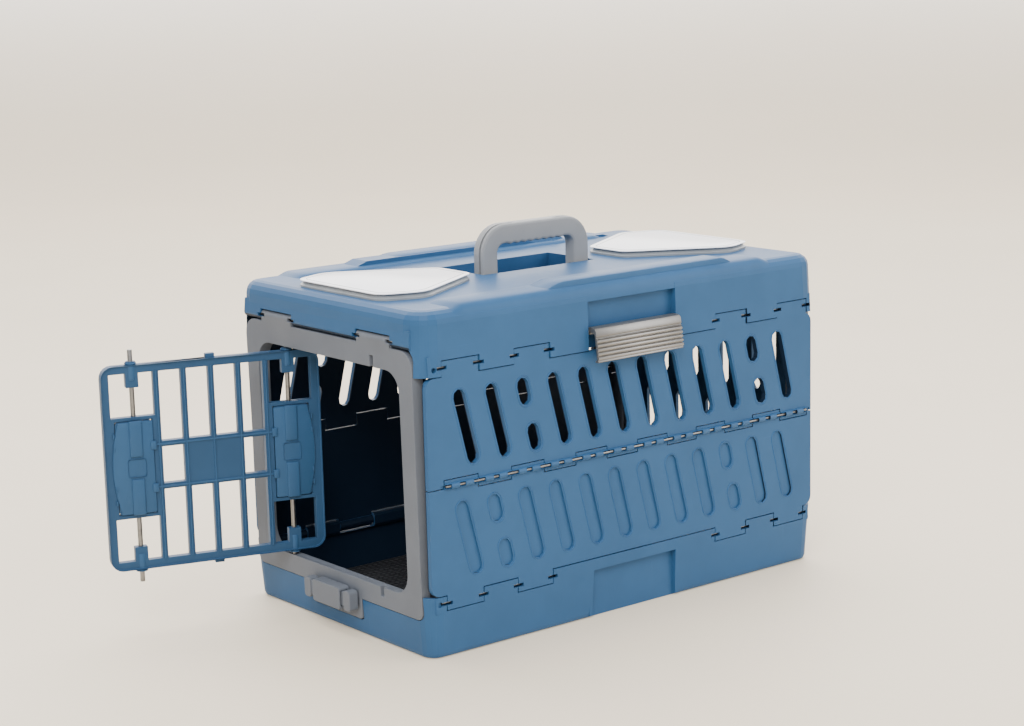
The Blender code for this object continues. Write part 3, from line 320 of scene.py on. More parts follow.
def frosted_sheet(name):
    """Frosted white sheet with a clear coat and a faint ripple."""
    paint = Paint(name, Coat_Weight=0.35, Coat_Roughness=0.12)
    cloud = paint.noise(0.05, detail=3.0)
    fine = paint.noise(0.0006, detail=2.0)
    paint.surface(Base_Color=paint.mix(cloud, (0.88, 0.88, 0.93), (0.95, 0.95, 0.98)))
    paint.surface(Roughness=0.30 + fine * 0.12)
    paint.surface(Normal=paint.bump(fine * 0.4 + cloud * 1.5, 0.00004))
    return paint.material


def ribbed_rubber(name):
    """Dark rubber with a diamond tread and trodden patches."""
    paint = Paint(name, Specular_IOR_Level=0.35)
    x, y, _ = paint.split(paint.place())
    step = 2 * math.pi / 0.014
    one = ((x + y) * step).wave()
    other = ((x - y) * step).wave()
    tread = paint.band(one * other, 0.10, 0.45)
    grit = paint.noise(0.0012, detail=3.0)
    trodden = paint.noise(0.06, detail=3.0)
    dust = tread * 0.6 + trodden * 0.4
    paint.surface(Base_Color=paint.mix(dust, (0.014, 0.015, 0.018), (0.055, 0.056, 0.062)))
    paint.surface(Roughness=0.62 + grit * 0.15 - tread * 0.14)
    paint.surface(Normal=paint.bump(tread * 6.0 + grit * 0.6, 0.00018))
    return paint.material


BLUE = (0.0285, 0.0900, 0.1980)
# Painted shade: the door's CAD parts take a darker copy of the plate blue, standing in for the shade on
# the grille's bars.
SHADED_DOOR_BLUE = (0.0245, 0.0690, 0.1430)
PLATE_BLUE = (0.0300, 0.0850, 0.1760)
GREY = (0.126, 0.140, 0.166)
PAINTS = {
    # The body's blue gets painted shade, near black, on the faces inside the cabin.
    "body_blue": moulded("body_blue_moulding", BLUE, 0.40, painted_cabin_shade=0.90),
    "door_blue": moulded("door_blue_painted_shade_moulding", SHADED_DOOR_BLUE, 0.40),
    "frame_grey": moulded("frame_grey_moulding", GREY, 0.45),
    "handle_grey": moulded("handle_grey_moulding", (0.250, 0.254, 0.262), 0.42, 0.00007),
    "latch_silver": silvered("latch_silver_finish", (0.245, 0.236, 0.225), 0.80, 0.24),
    "bezel_silver": silvered("bezel_silver_finish", (0.310, 0.325, 0.335), 0.30, 0.30),
    "window_white": frosted_sheet("window_frosted_sheet"),
    "mat_rubber": ribbed_rubber("floor_mat_rubber"),
    "steel": steel_wire("steel_wire"),
}
PLATE_FINISH = moulded("door_plate_moulding", PLATE_BLUE, 0.40)
# Painted highlight: the slot lips take a much lighter copy of the body blue, for the light caught on
# the slots' rims.
LIP_HIGHLIGHT_FINISH = moulded("slot_lip_painted_highlight", shade(BLUE, 1.85), 0.34)
SLOT_OF = {row["node"]: row["material_slot"] for row in frame["record"]["subparts"]}
BODY_OF = {
    node: body for body, nodes in frame["record"]["behaviour"]["bodies"].items() for node in nodes
}


# --- Shaping ---------------------------------------------------------------

HINGE = Vector((DOOR_X, DOOR_PIN_Y, 0.0))
SWUNG_OPEN = (
    Matrix.Translation(HINGE) @ Matrix.Rotation(-DOOR_OPEN_ANGLE, 4, "Z") @ Matrix.Translation(-HINGE)
)
HALF_TURN = Matrix.Rotation(math.pi, 4, "Z")
MIRROR_Y = Matrix.Scale(-1.0, 4, (0.0, 1.0, 0.0))
STRAIGHT = Matrix.Identity(4)
TO_AXIS = {
    "X": Matrix(((0, 0, 1, 0), (1, 0, 0, 0), (0, 1, 0, 0), (0, 0, 0, 1))),
    "Y": Matrix(((1, 0, 0, 0), (0, 0, 1, 0), (0, 1, 0, 0), (0, 0, 0, 1))),
    "Z": Matrix.Identity(4),
}


def rounded(corners, steps):
    """A closed outline whose corners (a, b, radius) are rounded."""
    points = []
    for index, (a, b, radius) in enumerate(corners):
        corner = Vector((a, b))
        before = (Vector(corners[index - 1][:2]) - corner).normalized()
        after = (Vector(corners[(index + 1) % len(corners)][:2]) - corner).normalized()
        half = before.angle(after) / 2
        centre = corner + (before + after).normalized() * (radius / math.sin(half))
        first = corner + before * (radius / math.tan(half)) - centre
        last = corner + after * (radius / math.tan(half)) - centre
        for step in range(steps + 1):
            towards = first.lerp(last, math.sin(math.pi / 2 * (step / steps)) ** 2)
            points.append(tuple(centre + towards.normalized() * radius))
    return points


def raised(shape, faces, way):
    """Extrudes faces along a vector. Gives the new vertices."""
    grown = bmesh.ops.extrude_face_region(shape, geom=faces)["geom"]
    top = [item for item in grown if isinstance(item, bmesh.types.BMVert)]
    bmesh.ops.translate(shape, verts=top, vec=way)
    return top


def drawn_out(shape, edges):
    """Extrudes edges where they lie. Gives the new edges, which are then moved."""
    grown = bmesh.ops.extrude_edge_only(shape, edges=edges)["geom"]
    return [item for item in grown if isinstance(item, bmesh.types.BMEdge)]


def slab(shape, axis, outline, low, high):
    """An outline across an axis, made solid from low to high along it."""
    turn = TO_AXIS[axis]
    ring = [shape.verts.new(turn @ Vector((a, b, low))) for a, b in outline]
    base = shape.faces.new(ring)
    top = raised(shape, [base], turn @ Vector((0, 0, high - low)))
    faces = {face for vert in ring + top for face in vert.link_faces}
    bmesh.ops.recalc_face_normals(shape, faces=list(faces))


def block(shape, low, high):
    """A box between two corners."""
    outline = [(low[0], low[1]), (high[0], low[1]), (high[0], high[1]), (low[0], high[1])]
    slab(shape, "Z", outline, low[2], high[2])


def drum(shape, axis, centre, radius, low, high, segments=24):
    """A round bar along an axis."""
    turn = TO_AXIS[axis]
    middle = turn @ Vector((*centre, (low + high) / 2))
    bmesh.ops.create_cone(
        shape,
        cap_ends=True,
        segments=segments,
        radius1=radius,
        radius2=radius,
        depth=high - low,
        matrix=Matrix.Translation(middle) @ turn,
    )


def soften(shape, width, segments, sharper_than, chosen=None):
    """Rounds the edges that turn by more than an angle in degrees, or the chosen ones of them."""
    limit = math.radians(sharper_than)
    edges = []
    for edge in shape.edges:
        if len(edge.link_faces) == 2 and edge.calc_face_angle(0.0) > limit:
            if chosen is None or chosen(edge):
                edges.append(edge)
    bmesh.ops.bevel(
        shape,
        geom=edges,
        offset=width,
        offset_type="OFFSET",
        segments=segments,
        profile=0.5,
        affect="EDGES",
        clamp_overlap=True,
        material=-1,
    )


def piece(name, shape, body, slot, turn=STRAIGHT, finish=None):
    """Turns a shape into a piece that rides on a body and takes a slot's finish, or its own."""
    shape.transform(turn)
    bmesh.ops.remove_doubles(shape, verts=shape.verts, dist=0.000001)
    bmesh.ops.recalc_face_normals(shape, faces=shape.faces)
    mesh = bpy.data.meshes.new(name)
    shape.to_mesh(mesh)
    shape.free()
    obj = bpy.data.objects.new(name, mesh)
    bpy.context.scene.collection.objects.link(obj)
    mesh.shade_smooth()
    mesh.set_sharp_from_angle(angle=SHARP_ANGLE)
    mesh.materials.append(finish or PAINTS[slot])
    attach(obj, body)
    return obj


def refined(node, width):
    """A copy of a CAD node, in its place, with flat faces cleaned and edges rounded."""
    shape = bmesh.new()
    shape.from_mesh(frame["nodes"][node].data)
    bmesh.ops.remove_doubles(shape, verts=shape.verts, dist=0.00001)
    bmesh.ops.dissolve_limit(
        shape, angle_limit=math.radians(0.6), verts=shape.verts, edges=shape.edges, delimit={"NORMAL"}
    )
    obj = piece(f"{node}_moulding", shape, BODY_OF[node], SLOT_OF[node])
    edges = obj.modifiers.new("rounded_edges", "BEVEL")
    edges.width = width
    edges.segments = 2
    edges.limit_method = "ANGLE"
    edges.angle_limit = math.radians(32)
    edges.use_clamp_overlap = False
    edges.harden_normals = True
    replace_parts(obj, node)


def add_shape(shape, other):
    """Moves one shape's mesh into another."""
    mesh = bpy.data.meshes.new("part")
    other.to_mesh(mesh)
    other.free()
    shape.from_mesh(mesh)
    bpy.data.meshes.remove(mesh)


def lip(places, width, way, rounding, inset=0.0):
    """A raised band inside a closed line of places, this wide, whose crest lies one way."""
    ring = bmesh.new()
    face = ring.faces.new([ring.verts.new(place) for place in places])
    if inset:
        bmesh.ops.inset_region(ring, faces=[face], thickness=inset, use_boundary=True)
        outside = [other for other in ring.faces if other != face]
        bmesh.ops.delete(ring, geom=outside, context="FACES")
    bmesh.ops.inset_region(ring, faces=[face], thickness=width, use_boundary=True)
    bmesh.ops.delete(ring, geom=[face], context="FACES_ONLY")
    raised(ring, list(ring.faces), way)
    soften(ring, rounding, 2, 60)
    return ring


def round_bar(node, axis, stoutness=1.0):
    """A smooth round bar with chamfered ends in place of a CAD rod."""
    low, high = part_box(node)
    along = "XYZ".index(axis)
    across = [index for index in range(3) if index != along]
    centre = [(low[index] + high[index]) / 2 for index in across]
    radius = max(high[index] - low[index] for index in across) / 2
    shape = bmesh.new()
    drum(shape, axis, centre, radius * stoutness, low[along], high[along])
    soften(shape, radius * 0.25, 2, 50)
    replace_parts(piece(f"{node}_bar", shape, BODY_OF[node], SLOT_OF[node]), node)


def ridge(shape, profile, stations):
    """Carries a closed profile (y, z, lift) along X. At each station (x, height) lifted points rise."""
    base = shape.verts.layers.float.new("base")
    lift = shape.verts.layers.float.new("lift")
    start_x = stations[0][0]
    ring = []
    for y, z, share in profile:
        vert = shape.verts.new((start_x, y, z))
        vert[base] = z
        vert[lift] = share
        ring.append(vert)
    edges = [shape.edges.new((ring[index - 1], ring[index])) for index in range(len(ring))]
    shape.faces.new(ring)
    for vert in ring:
        vert.co.z += vert[lift] * stations[0][1]
    for x, height in stations[1:]:
        edges = drawn_out(shape, edges)
        moved = {vert for edge in edges for vert in edge.verts}
        for vert in moved:
            vert.co.x = x
            vert.co.z = vert[base] + vert[lift] * height
    bmesh.ops.holes_fill(shape, edges=edges)
    bmesh.ops.recalc_face_normals(shape, faces=shape.faces)


# --- Lid -------------------------------------------------------------------


def eased(stations):
    """Adds stations between the given ones, on an S-curve."""
    points = [stations[0]]
    for (x0, h0), (x1, h1) in zip(stations[:-1], stations[1:]):
        count = EASE_STEPS if h0 != h1 else 1
        for step in range(1, count + 1):
            share = step / count
            curve = share * share * (3 - 2 * share)
            points.append((x0 + (x1 - x0) * share, h0 + (h1 - h0) * curve))
    return points


def lid_rails():
    """The low shoulder and the raised rail along each long side of the lid."""
    shoulder = [
        (-0.1516, 0.3130, 0.0),
        (-0.1512, 0.3160, 0.05),
        (-0.1502, 0.3190, 0.30),
        (-0.1484, 0.3214, 0.62),
        (-0.1460, 0.3232, 0.86),
        (-0.1430, 0.3242, 1.0),
        (-0.1130, 0.3242, 1.0),
        (-0.1085, 0.3240, 0.8),
        (-0.1050, 0.3236, 0.1),
        (-0.1050, 0.3180, 0.0),
        (-0.1400, 0.3130, 0.0),
    ]
    rail = [
        (-0.1462, 0.3190, 0.0),
        (-0.1450, 0.3212, 0.10),
        (-0.1444, 0.3232, 0.45),
        (-0.1440, 0.3250, 0.84),
        (-0.1435, 0.3257, 0.96),
        (-0.1424, 0.3260, 1.0),
        (-0.1180, 0.3260, 1.0),
        (-0.1160, 0.3257, 0.92),
        (-0.1148, 0.3253, 0.60),
        (-0.1138, 0.3246, 0.20),
        (-0.1120, 0.3236, 0.0),
        (-0.1400, 0.3160, 0.0),
    ]
    low_run = eased([(-0.2200, 0.0), (-0.2010, 0.0052), (0.1760, 0.0052), (0.1960, 0.0)])
    high_run = eased([(-0.1130, 0.0), (-0.0780, 0.0086), (0.1270, 0.0086), (0.1500, 0.0)])
    for side, turn in (("right", STRAIGHT), ("left", MIRROR_Y)):
        for name, profile, run in (("shoulder", shoulder, low_run), ("rail", rail, high_run)):
            shape = bmesh.new()
            ridge(shape, profile, run)
            bar = piece(f"{side}_lid_{name}", shape, "lid", "body_blue", turn)
            cut_latch_bay(bar, side)


def cut_latch_bay(bar, side):
    """Clears the latch bay out of a rail, where the rail passes over it."""
    shape = bmesh.new()
    shape.from_mesh(bar.data)
    sign = -1 if side == "right" else 1
    for x in (-BAY_HALF_LENGTH, BAY_HALF_LENGTH):
        geometry = list(shape.verts) + list(shape.edges) + list(shape.faces)
        bmesh.ops.bisect_plane(shape, geom=geometry, plane_co=(x, 0, 0), plane_no=(1, 0, 0))
    geometry = list(shape.verts) + list(shape.edges) + list(shape.faces)
    back = sign * BAY_BACK_Y
    bmesh.ops.bisect_plane(shape, geom=geometry, plane_co=(0, back, 0), plane_no=(0, 1, 0))
    for vert in shape.verts:
        if abs(vert.co.x) < BAY_HALF_LENGTH - 0.0001 and sign * vert.co.y > BAY_BACK_Y + 0.0001:
            vert.co.y = back
    shape.to_mesh(bar.data)
    shape.free()


def window_frames():
    """The silvered bezel and the frosted sheet at each end of the lid's top."""
    corners = [
        (-0.0985, 0.0270, 0.014),
        (-0.0985, -0.0270, 0.014),
        (-0.1965, -0.0860, 0.030),
        (-0.2400, -0.0690, 0.018),
        (-0.2400, 0.0690, 0.018),
        (-0.1965, 0.0860, 0.030),
    ]
    levels = [
        (0.0, 0.3278),
        (0.0052, 0.3326),
        (0.0058, 0.3330),
        (0.0064, 0.3331),
        (0.0068, 0.3330),
        (0.0071, 0.3324),
    ]
    for end, turn in (("front", STRAIGHT), ("rear", HALF_TURN)):
        shape = bmesh.new()
        ring = [shape.verts.new((x, y, WINDOW_ROOT_Z)) for x, y in rounded(corners, 7)]
        face = shape.faces.new(ring)
        bmesh.ops.recalc_face_normals(shape, faces=[face])
        if face.normal.z < 0:
            bmesh.ops.reverse_faces(shape, faces=[face])
        inset_so_far = 0.0
        height = WINDOW_ROOT_Z
        grown = bmesh.ops.extrude_face_region(shape, geom=[face])["geom"]
        face = next(item for item in grown if isinstance(item, bmesh.types.BMFace))
        for inset, level in levels:
            if inset > inset_so_far:
                bmesh.ops.inset_region(shape, faces=[face], thickness=inset - inset_so_far)
            bmesh.ops.translate(shape, verts=face.verts, vec=(0, 0, level - height))
            inset_so_far = inset
            height = level
        bezel = piece(f"{end}_window_frame", shape, "lid", "bezel_silver", turn)
        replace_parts(bezel, f"{end}_window_bezel")
        pane = bmesh.new()
        ring = [pane.verts.new((x, y, SHEET_Z)) for x, y in rounded(corners, 7)]
        face = pane.faces.new(ring)
        bmesh.ops.inset_region(pane, faces=[face], thickness=SHEET_INSET, use_boundary=True)
        rim = [other for other in pane.faces if other != face]
        bmesh.ops.delete(pane, geom=rim, context="FACES")
        raised(pane, list(pane.faces), (0, 0, SHEET_THICKNESS))
        soften(pane, 0.0003, 2, 60)
        sheet = piece(f"{end}_window_sheet", pane, "lid", "window_white", turn)
        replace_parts(sheet, f"{end}_window_panel")


# --- Side panels -----------------------------------------------------------


def slot_middles(split_columns, centre_z):
    """The two ends (x, z) of each slot's middle line. A split column holds two short slots."""
    lines = []
    for column in range(SLOT_COLUMNS):
        x = (column - (SLOT_COLUMNS - 1) / 2) * SLOT_PITCH
        spans = [(0.0, SLOT_HEIGHT)]
        if column in split_columns:
            short = (SLOT_HEIGHT - SLOT_GAP) / 2
            offset = (short + SLOT_GAP) / 2
            spans = [(offset, short), (-offset, short)]
        for offset, height in spans:
            lean = SLOT_SLANT / SLOT_HEIGHT
            half = (height - SLOT_WIDTH) / 2
            middle = Vector((x - lean * offset, centre_z + offset))
            way = Vector((-SLOT_SLANT * height / SLOT_HEIGHT, height)).normalized()
            lines.append((middle - way * half, middle + way * half))
    return lines


def slot_lips():
    """The rounded lip round each slot of the side panels, in a lighter blue that is a painted
    highlight.
    """
    rows = (("upper", UPPER_SPLIT, UPPER_SLOTS_Z), ("lower", LOWER_SPLIT, LOWER_SLOTS_Z))
    for row, split_columns, centre_z in rows:
        for side, turn in (("right", STRAIGHT), ("left", HALF_TURN)):
            shape = bmesh.new()
            for foot, top in slot_middles(split_columns, centre_z):
                along = (top - foot).normalized()
                places = []
                for centre, way in ((top, along), (foot, -along)):
                    start = Vector((way.y, -way.x))
                    for step in range(LIP_STEPS + 1):
                        angle = math.pi * step / LIP_STEPS
                        ray = start * math.cos(angle) + way * math.sin(angle)
                        place = centre + ray * (SLOT_WIDTH / 2 + LIP_WIDTH)
                        places.append((place.x, LIP_ROOT_Y, place.y))
                outwards = (0, LIP_TOP_Y - LIP_ROOT_Y, 0)
                add_shape(shape, lip(places, LIP_WIDTH + 0.0002, outwards, 0.00025))
            name = f"{side}_{row}_slot_lips"
            piece(name, shape, f"{side}_{row}_wall", "body_blue", turn, LIP_HIGHLIGHT_FINISH)


# --- Handle ----------------------------------------------------------------


def handle_path():
    """Stations (x, z, angle) up one leg, round the bend, along the bar and down the other leg."""
    stations = []
    foot = HANDLE_FOOT_Z
    bend_z = HANDLE_BAR_Z - HANDLE_BEND
    bend_x = HANDLE_SPAN - HANDLE_BEND
    for step in range(5):
        stations.append((-HANDLE_SPAN, foot + (bend_z - foot) * step / 5, 0.0))
    for step in range(9):
        angle = math.pi / 2 * step / 8
        x = -bend_x - HANDLE_BEND * math.cos(angle)
        stations.append((x, bend_z + HANDLE_BEND * math.sin(angle), angle))
    leg = list(stations)
    bar_steps = 56
    for step in range(1, bar_steps):
        stations.append((-bend_x + 2 * bend_x * step / bar_steps, HANDLE_BAR_Z, math.pi / 2))
    return stations + [(-x, z, math.pi - angle) for x, z, angle in reversed(leg)]


def handle_section(channel, bump):
    """A ring across the handle: (towards the outside, y). The channel sinks into the outer face."""
    outer = HANDLE_HALF_WIDTH
    half = HANDLE_HALF_DEPTH
    corners = ((-outer - bump, -half), (outer, -half), (outer, half), (-outer - bump, half))
    steps = 4
    ring = rounded([(a, b, HANDLE_CORNER) for a, b in corners], steps)
    two_corners = 2 * (steps + 1)
    inner = outer - CHANNEL_DEPTH * channel
    groove = [(outer, -0.0046), (inner, -0.0044), (inner, -0.0020), (outer, -0.0018)]
    return ring[:two_corners] + groove + ring[two_corners:]


def carrying_handle():
    """One U-shaped moulding with a channel in its outer edge and finger waves under its bar."""
    shape = bmesh.new()
    edges = None
    for x, z, angle in handle_path():
        outward = Vector((-math.cos(angle), 0.0, math.sin(angle)))
        reach = abs(x) / HANDLE_SPAN
        channel = min(1.0, max(0.0, (reach - 0.45) / 0.25)) * (1.0 if z > CHANNEL_FOOT_Z else 0.55)
        bump = 0.0
        if abs(x) < FINGERS_HALF_LENGTH:
            bump = FINGER_RISE * (1.0 - math.cos(abs(x) * 2 * math.pi / FINGER_PITCH))
        section = handle_section(channel, bump)
        centre = Vector((x, 0.0, z))
        places = [centre + outward * a + Vector((0.0, b, 0.0)) for a, b in section]
        if edges is None:
            ring = [shape.verts.new(place) for place in places]
            edges = [shape.edges.new((ring[index - 1], ring[index])) for index in range(len(ring))]
            shape.faces.new(ring)
            continue
        edges = drawn_out(shape, edges)
        follow = {}
        for edge in edges:
            for vert in edge.verts:
                for link in vert.link_edges:
                    other = link.other_vert(vert)
                    if other in ring:
                        follow[other] = vert
        ring = [follow[vert] for vert in ring]
        for vert, place in zip(ring, places):
            vert.co = place
    bmesh.ops.holes_fill(shape, edges=edges)
    bmesh.ops.recalc_face_normals(shape, faces=shape.faces)
    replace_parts(piece("carrying_handle", shape, "handle", "handle_grey"), "handle")


# --- Side latches ----------------------------------------------------------


def side_latches():
    """A hooked plate with a broad top band, a groove and ribs, on each long side."""
    front = [(-0.1472, 0.2868), (-0.1500, 0.2880), (-0.1560, 0.2883), (-0.1597, 0.2872)]
    front += [(-0.1614, 0.2848), (-0.1620, 0.2815), (-0.1623, 0.2800), (-0.1613, 0.2793)]
    front += [(-0.1615, 0.2784), (-0.1627, 0.2777)]
    crest = [(0.06, -0.0004), (0.20, 0.0010), (0.50, 0.0015), (0.80, 0.0010), (0.94, -0.0004)]
    ribs_height = LATCH_RIBS_HIGH - LATCH_RIBS_LOW
    for rib in range(LATCH_RIBS):
        for share, depth in crest:
            z = LATCH_RIBS_HIGH - ribs_height / LATCH_RIBS * (rib + share)
            slope = 0.0024 * (LATCH_RIBS_HIGH - z) / ribs_height
            front.append((-0.1624 - slope - depth + 0.0004, z))
    back = [(-0.1650, 0.2560), (-0.1640, 0.2551), (-0.1602, 0.2552), (-0.1600, 0.2566)]
    back += [(-0.1624, 0.2578), (-0.1594, 0.2812), (-0.1572, 0.2833), (-0.1535, 0.2833)]
    back += [(-0.1518, 0.2812), (-0.1490, 0.2806), (-0.1468, 0.2822), (-0.1462, 0.2845)]
    for side, turn in (("right", STRAIGHT), ("left", HALF_TURN)):
        shape = bmesh.new()
        slab(shape, "X", front + back, -LATCH_HALF_LENGTH, LATCH_HALF_LENGTH)
        soften(shape, 0.00045, 2, 45, at_latch_end)
        plate = piece(f"{side}_latch_plate", shape, f"{side}_latch", "latch_silver", turn)
        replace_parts(plate, f"{side}_lid_latch")


def at_latch_end(edge):
    """Whether an edge lies on either end face of a latch plate."""
    return all(abs(vert.co.x) > LATCH_HALF_LENGTH - 0.0001 for vert in edge.verts)


# --- Door ------------------------------------------------------------------


def across_door(outline):
    """A door outline (across, up), placed just under the inner face."""
    return [TO_AXIS["X"] @ Vector((a, b, DOOR_INNER_FACE - ROOT_DEPTH)) for a, b in outline]


def door_rim_lip():
    """The two raised lips that run round the door's rim, on the inner face."""
    shape = bmesh.new()
    sides = ((-1, DOOR_LOW), (1, DOOR_LOW), (1, DOOR_HIGH), (-1, DOOR_HIGH))
    corners = [(side * DOOR_HALF_WIDTH, z, DOOR_CORNER) for side, z in sides]
    places = across_door(rounded(corners, 8))
    for inset, width, rise in ((0.0, 0.0018, 0.0024), (0.0066, 0.0012, 0.0010)):
        add_shape(shape, lip(places, width, (rise + ROOT_DEPTH, 0, 0), 0.0003, inset))
    piece("door_rim_lips", shape, "door", "door_blue", SWUNG_OPEN, PLATE_FINISH)


def door_ribs():
    """The fine rib along each bar and crossbar, on the inner face."""
    shape = bmesh.new()
    root = DOOR_INNER_FACE - ROOT_DEPTH
    for y in DOOR_BARS:
        crest = DOOR_INNER_FACE + 0.0014
        block(shape, (root, y - 0.0007, DOOR_LOW + 0.0075), (crest, y + 0.0007, DOOR_HIGH - 0.0075))
    reach = PLATE_INNER + 0.0010
    for z in CROSSBARS_Z:
        block(shape, (root, -reach, z - 0.0009), (DOOR_INNER_FACE + 0.0012, reach, z + 0.0009))
    soften(shape, 0.00025, 1, 60)
    piece("door_bar_ribs", shape, "door", "door_blue", SWUNG_OPEN, PLATE_FINISH)


def latch_plate_covers(side_name, side):
    """The plate's face: a bowed outer edge, a cover over each bolt and a square centre."""
    shape = bmesh.new()
    face = DOOR_INNER_FACE
    low = PLATE_LOW + 0.0006
    high = PLATE_HIGH - 0.0006
    edge = [(side * PLATE_INNER, low), (side * PLATE_INNER, high)]
    steps = 12
    for step in range(steps + 1):
        share = step / steps
        z = high + (low - high) * share
        bow = 0.0068 * (1 - (2 * share - 1) ** 2)
        edge.append((side * (PLATE_OUTER - 0.0025 + bow), z))
    slab(shape, "X", edge, face - ROOT_DEPTH, face + 0.0020)
    soften(shape, 0.0005, 2, 50)
    for way in (-1, 1):
        z0, z1 = sorted((PLATE_MIDDLE + way * 0.0110, PLATE_MIDDLE + way * 0.0462))
        y = side * DOOR_PIN_Y
        cover = bmesh.new()
        block(cover, (face, y - 0.0062, z0), (face + 0.0040, y + 0.0062, z1))
        soften(cover, 0.0012, 3, 50)
        add_shape(shape, cover)
        for notch in (0.0200, 0.0330):
            z = PLATE_MIDDLE + way * notch
            y = side * (PLATE_OUTER + 0.0020)
            mark = bmesh.new()
            block(mark, (face, y - 0.0007, z - 0.0022), (face + 0.0030, y + 0.0007, z + 0.0022))
            soften(mark, 0.0003, 1, 50)
            add_shape(shape, mark)
        z = CROSSBARS_Z[0] if way < 0 else CROSSBARS_Z[1]
        clip = bmesh.new()
        y0, y1 = sorted((side * (PLATE_INNER - 0.0026), side * (PLATE_INNER + 0.0030)))
        block(clip, (face, y0, z - 0.0042), (face + 0.0032, y1, z + 0.0042))
        soften(clip, 0.0006, 2, 50)
        add_shape(shape, clip)
    half = 0.0088
    ways = ((-1, -1), (1, -1), (1, 1), (-1, 1))
    middle = side * DOOR_PIN_Y
    corners = [(middle + a * half, PLATE_MIDDLE + b * half, 0.002) for a, b in ways]
    places = [TO_AXIS["X"] @ Vector((a, b, face)) for a, b in rounded(corners, 3)]
    add_shape(shape, lip(places, 0.0012, (0.0030, 0, 0), 0.0003))
    piece(f"{side_name}_plate_cover", shape, "door", "door_blue", SWUNG_OPEN, PLATE_FINISH)


def bolt_sleeves(side_name, side):
    """The round guide and its flange where each bolt passes the rim."""
    shape = bmesh.new()
    centre = (DOOR_X, side * DOOR_PIN_Y)
    ends = [
        (DOOR_LOW - 0.0026, DOOR_LOW + 0.0150, DOOR_LOW - 0.0026),
        (DOOR_HIGH - 0.0150, DOOR_HIGH + 0.0020, DOOR_HIGH + 0.0006),
    ]
    for low, high, flange in ends:
        sleeve = bmesh.new()
        drum(sleeve, "Z", centre, 0.0050, low, high, 32)
        drum(sleeve, "Z", centre, 0.0058, flange, flange + 0.0014, 32)
        soften(sleeve, 0.0004, 2, 60)
        add_shape(shape, sleeve)
    piece(f"{side_name}_bolt_sleeves", shape, "door", "door_blue", SWUNG_OPEN, PLATE_FINISH)


# --- Assembly --------------------------------------------------------------

# How far each CAD node's edges are rounded
FINE_EDGES = {
    "front_frame": 0.0007,
    "rear_frame": 0.0007,
    "rear_vent_grille": 0.0008,
    "front_latch_housing": 0.0009,
    "rear_latch_housing": 0.0009,
    "front_latch_button_right": 0.0010,
    "front_latch_button_left": 0.0010,
    "rear_latch_button_right": 0.0010,
    "rear_latch_button_left": 0.0010,
    "door_grille": 0.0005,
    "hinge_side_latch_plate": 0.0004,
    "free_side_latch_plate": 0.0004,
    "floor_mat": 0.0003,
}


def dress_cad_nodes():
    """Gives every CAD node that stays the finish of its slot."""
    for name, node in frame["nodes"].items():
        node.data.materials.clear()
        node.data.materials.append(PAINTS[SLOT_OF[name]])
        node.data.shade_smooth()
        node.data.set_sharp_from_angle(angle=SHARP_ANGLE)


def rods():
    """A smooth bar for every steel rod, pin and bolt."""
    for name in sorted(frame["nodes"]):
        if SLOT_OF[name] != "steel" or name.endswith("spring"):
            continue
        if name.endswith("frame_rod"):
            round_bar(name, "Y")
        elif name.endswith("bolt"):
            round_bar(name, "Z", BOLT_STOUTNESS)
        else:
            round_bar(name, "X")


def bolt_springs():
    """The latch plates' springs, each copied from its CAD node into a piece of its own."""
    for side in ("free", "hinge"):
        for end, fixed_z in (("upper", SPRING_FOOT_HIGH), ("lower", SPRING_FOOT_LOW)):
            node = f"{side}_side_{end}_spring"
            shape = bmesh.new()
            shape.from_mesh(frame["nodes"][node].data)
            coil = piece(f"{node}_coil", shape, "door", "steel")
            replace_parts(coil, node)
            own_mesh(coil)


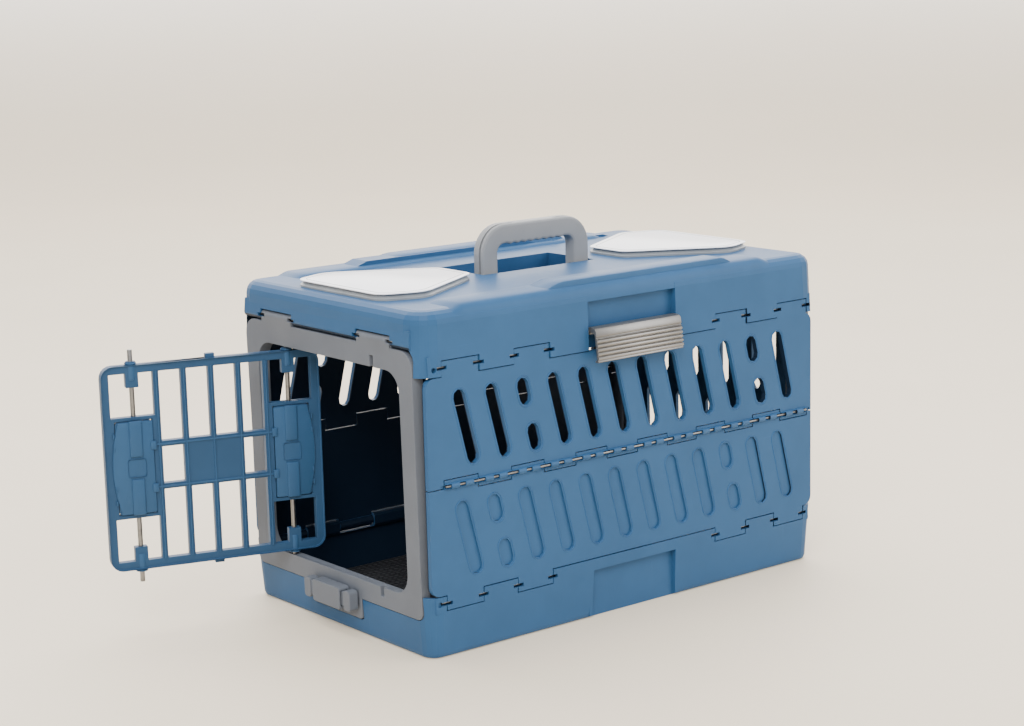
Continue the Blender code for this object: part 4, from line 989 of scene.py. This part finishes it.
def studio():
    """A pale floor that curves up behind, the air's light and three soft lights."""
    shape = bmesh.new()
    ends = (-FLOOR_HALF_WIDTH, FLOOR_HALF_WIDTH)
    edges = [shape.edges.new([shape.verts.new((x, FLOOR_FRONT, 0.0)) for x in ends])]
    sweep = [(BACKDROP_START, 0.0)]
    for step in range(1, 9):
        angle = math.pi / 2 * step / 8
        y = BACKDROP_START + BACKDROP_RADIUS * math.sin(angle)
        sweep.append((y, BACKDROP_RADIUS * (1 - math.cos(angle))))
    sweep.append((BACKDROP_START + BACKDROP_RADIUS, BACKDROP_TOP))
    for y, z in sweep:
        edges = drawn_out(shape, edges)
        for vert in edges[0].verts:
            vert.co.y = y
            vert.co.z = z
    turn = Matrix.Rotation(math.radians(-38), 3, "Z")
    bmesh.ops.rotate(shape, verts=shape.verts, cent=(0, 0, 0), matrix=turn)
    bmesh.ops.recalc_face_normals(shape, faces=shape.faces)
    mesh = bpy.data.meshes.new("studio_floor")
    shape.to_mesh(mesh)
    shape.free()
    floor = bpy.data.objects.new("studio_floor", mesh)
    bpy.context.scene.collection.objects.link(floor)
    mesh.shade_smooth()
    paint = Paint("studio_floor_paint")
    cloud = paint.noise(0.5, detail=4.0)
    paint.surface(Base_Color=paint.mix(cloud, (0.72, 0.61, 0.46), (0.80, 0.69, 0.54)))
    paint.surface(Roughness=0.55 + cloud * 0.1, Emission_Strength=4.2)
    height = paint.split(paint.node("TexCoord", output=3))[2]
    glow = paint.band(height, 0.05, 1.50)
    paint.surface(Emission_Color=paint.mix(glow, (0.040, 0.035, 0.026), (1.0, 1.0, 1.0)))
    mesh.materials.append(paint.material)
    world = bpy.data.worlds.new("studio_air")
    bpy.context.scene.world = world
    world.use_nodes = True
    air = world.node_tree.nodes["Background"]
    air.inputs["Color"].default_value = (0.95, 0.97, 1.0, 1.0)
    air.inputs["Strength"].default_value = 0.85
    lights = [
        ("key_light", (-1.9, -1.7, 2.3), 1.6, 95),
        ("fill_light", (2.2, -2.2, 1.5), 2.0, 55),
        ("top_light", (0.1, 0.5, 2.6), 2.2, 78),
    ]
    for name, place, size, power in lights:
        light = bpy.data.lights.new(name, "AREA")
        light.size = size
        light.energy = power
        lamp = bpy.data.objects.new(name, light)
        lamp.location = place
        aim = Vector((0, 0, 0.15)) - Vector(place)
        lamp.rotation_euler = aim.to_track_quat("-Z", "Y").to_euler()
        bpy.context.scene.collection.objects.link(lamp)


def camera():
    """The camera's place, aim and lens."""
    view = bpy.data.cameras.new("view")
    view.lens = CAMERA_LENS
    view.sensor_width = 36.0
    eye = bpy.data.objects.new("view", view)
    bpy.context.scene.collection.objects.link(eye)
    level = math.cos(CAMERA_DOWN)
    aim = Vector((math.sin(CAMERA_YAW) * level, math.cos(CAMERA_YAW) * level, -math.sin(CAMERA_DOWN)))
    right = Vector((math.cos(CAMERA_YAW), -math.sin(CAMERA_YAW), 0.0))
    up = right.cross(aim)
    side = math.cos(CAMERA_ROLL) * right + math.sin(CAMERA_ROLL) * up
    rise = -math.sin(CAMERA_ROLL) * right + math.cos(CAMERA_ROLL) * up
    turn = Matrix((side, rise, -aim)).transposed().to_4x4()
    eye.matrix_world = Matrix.Translation(CAMERA_PLACE) @ turn
    bpy.context.scene.camera = eye


def main():
    """Makes every piece, the stage and the camera."""
    dress_cad_nodes()
    for name, width in FINE_EDGES.items():
        refined(name, width)
    rods()
    bolt_springs()
    lid_rails()
    window_frames()
    slot_lips()
    carrying_handle()
    side_latches()
    door_rim_lip()
    door_ribs()
    for side_name, side in (("hinge_side", 1), ("free_side", -1)):
        latch_plate_covers(side_name, side)
        bolt_sleeves(side_name, side)
    studio()
    camera()


main()
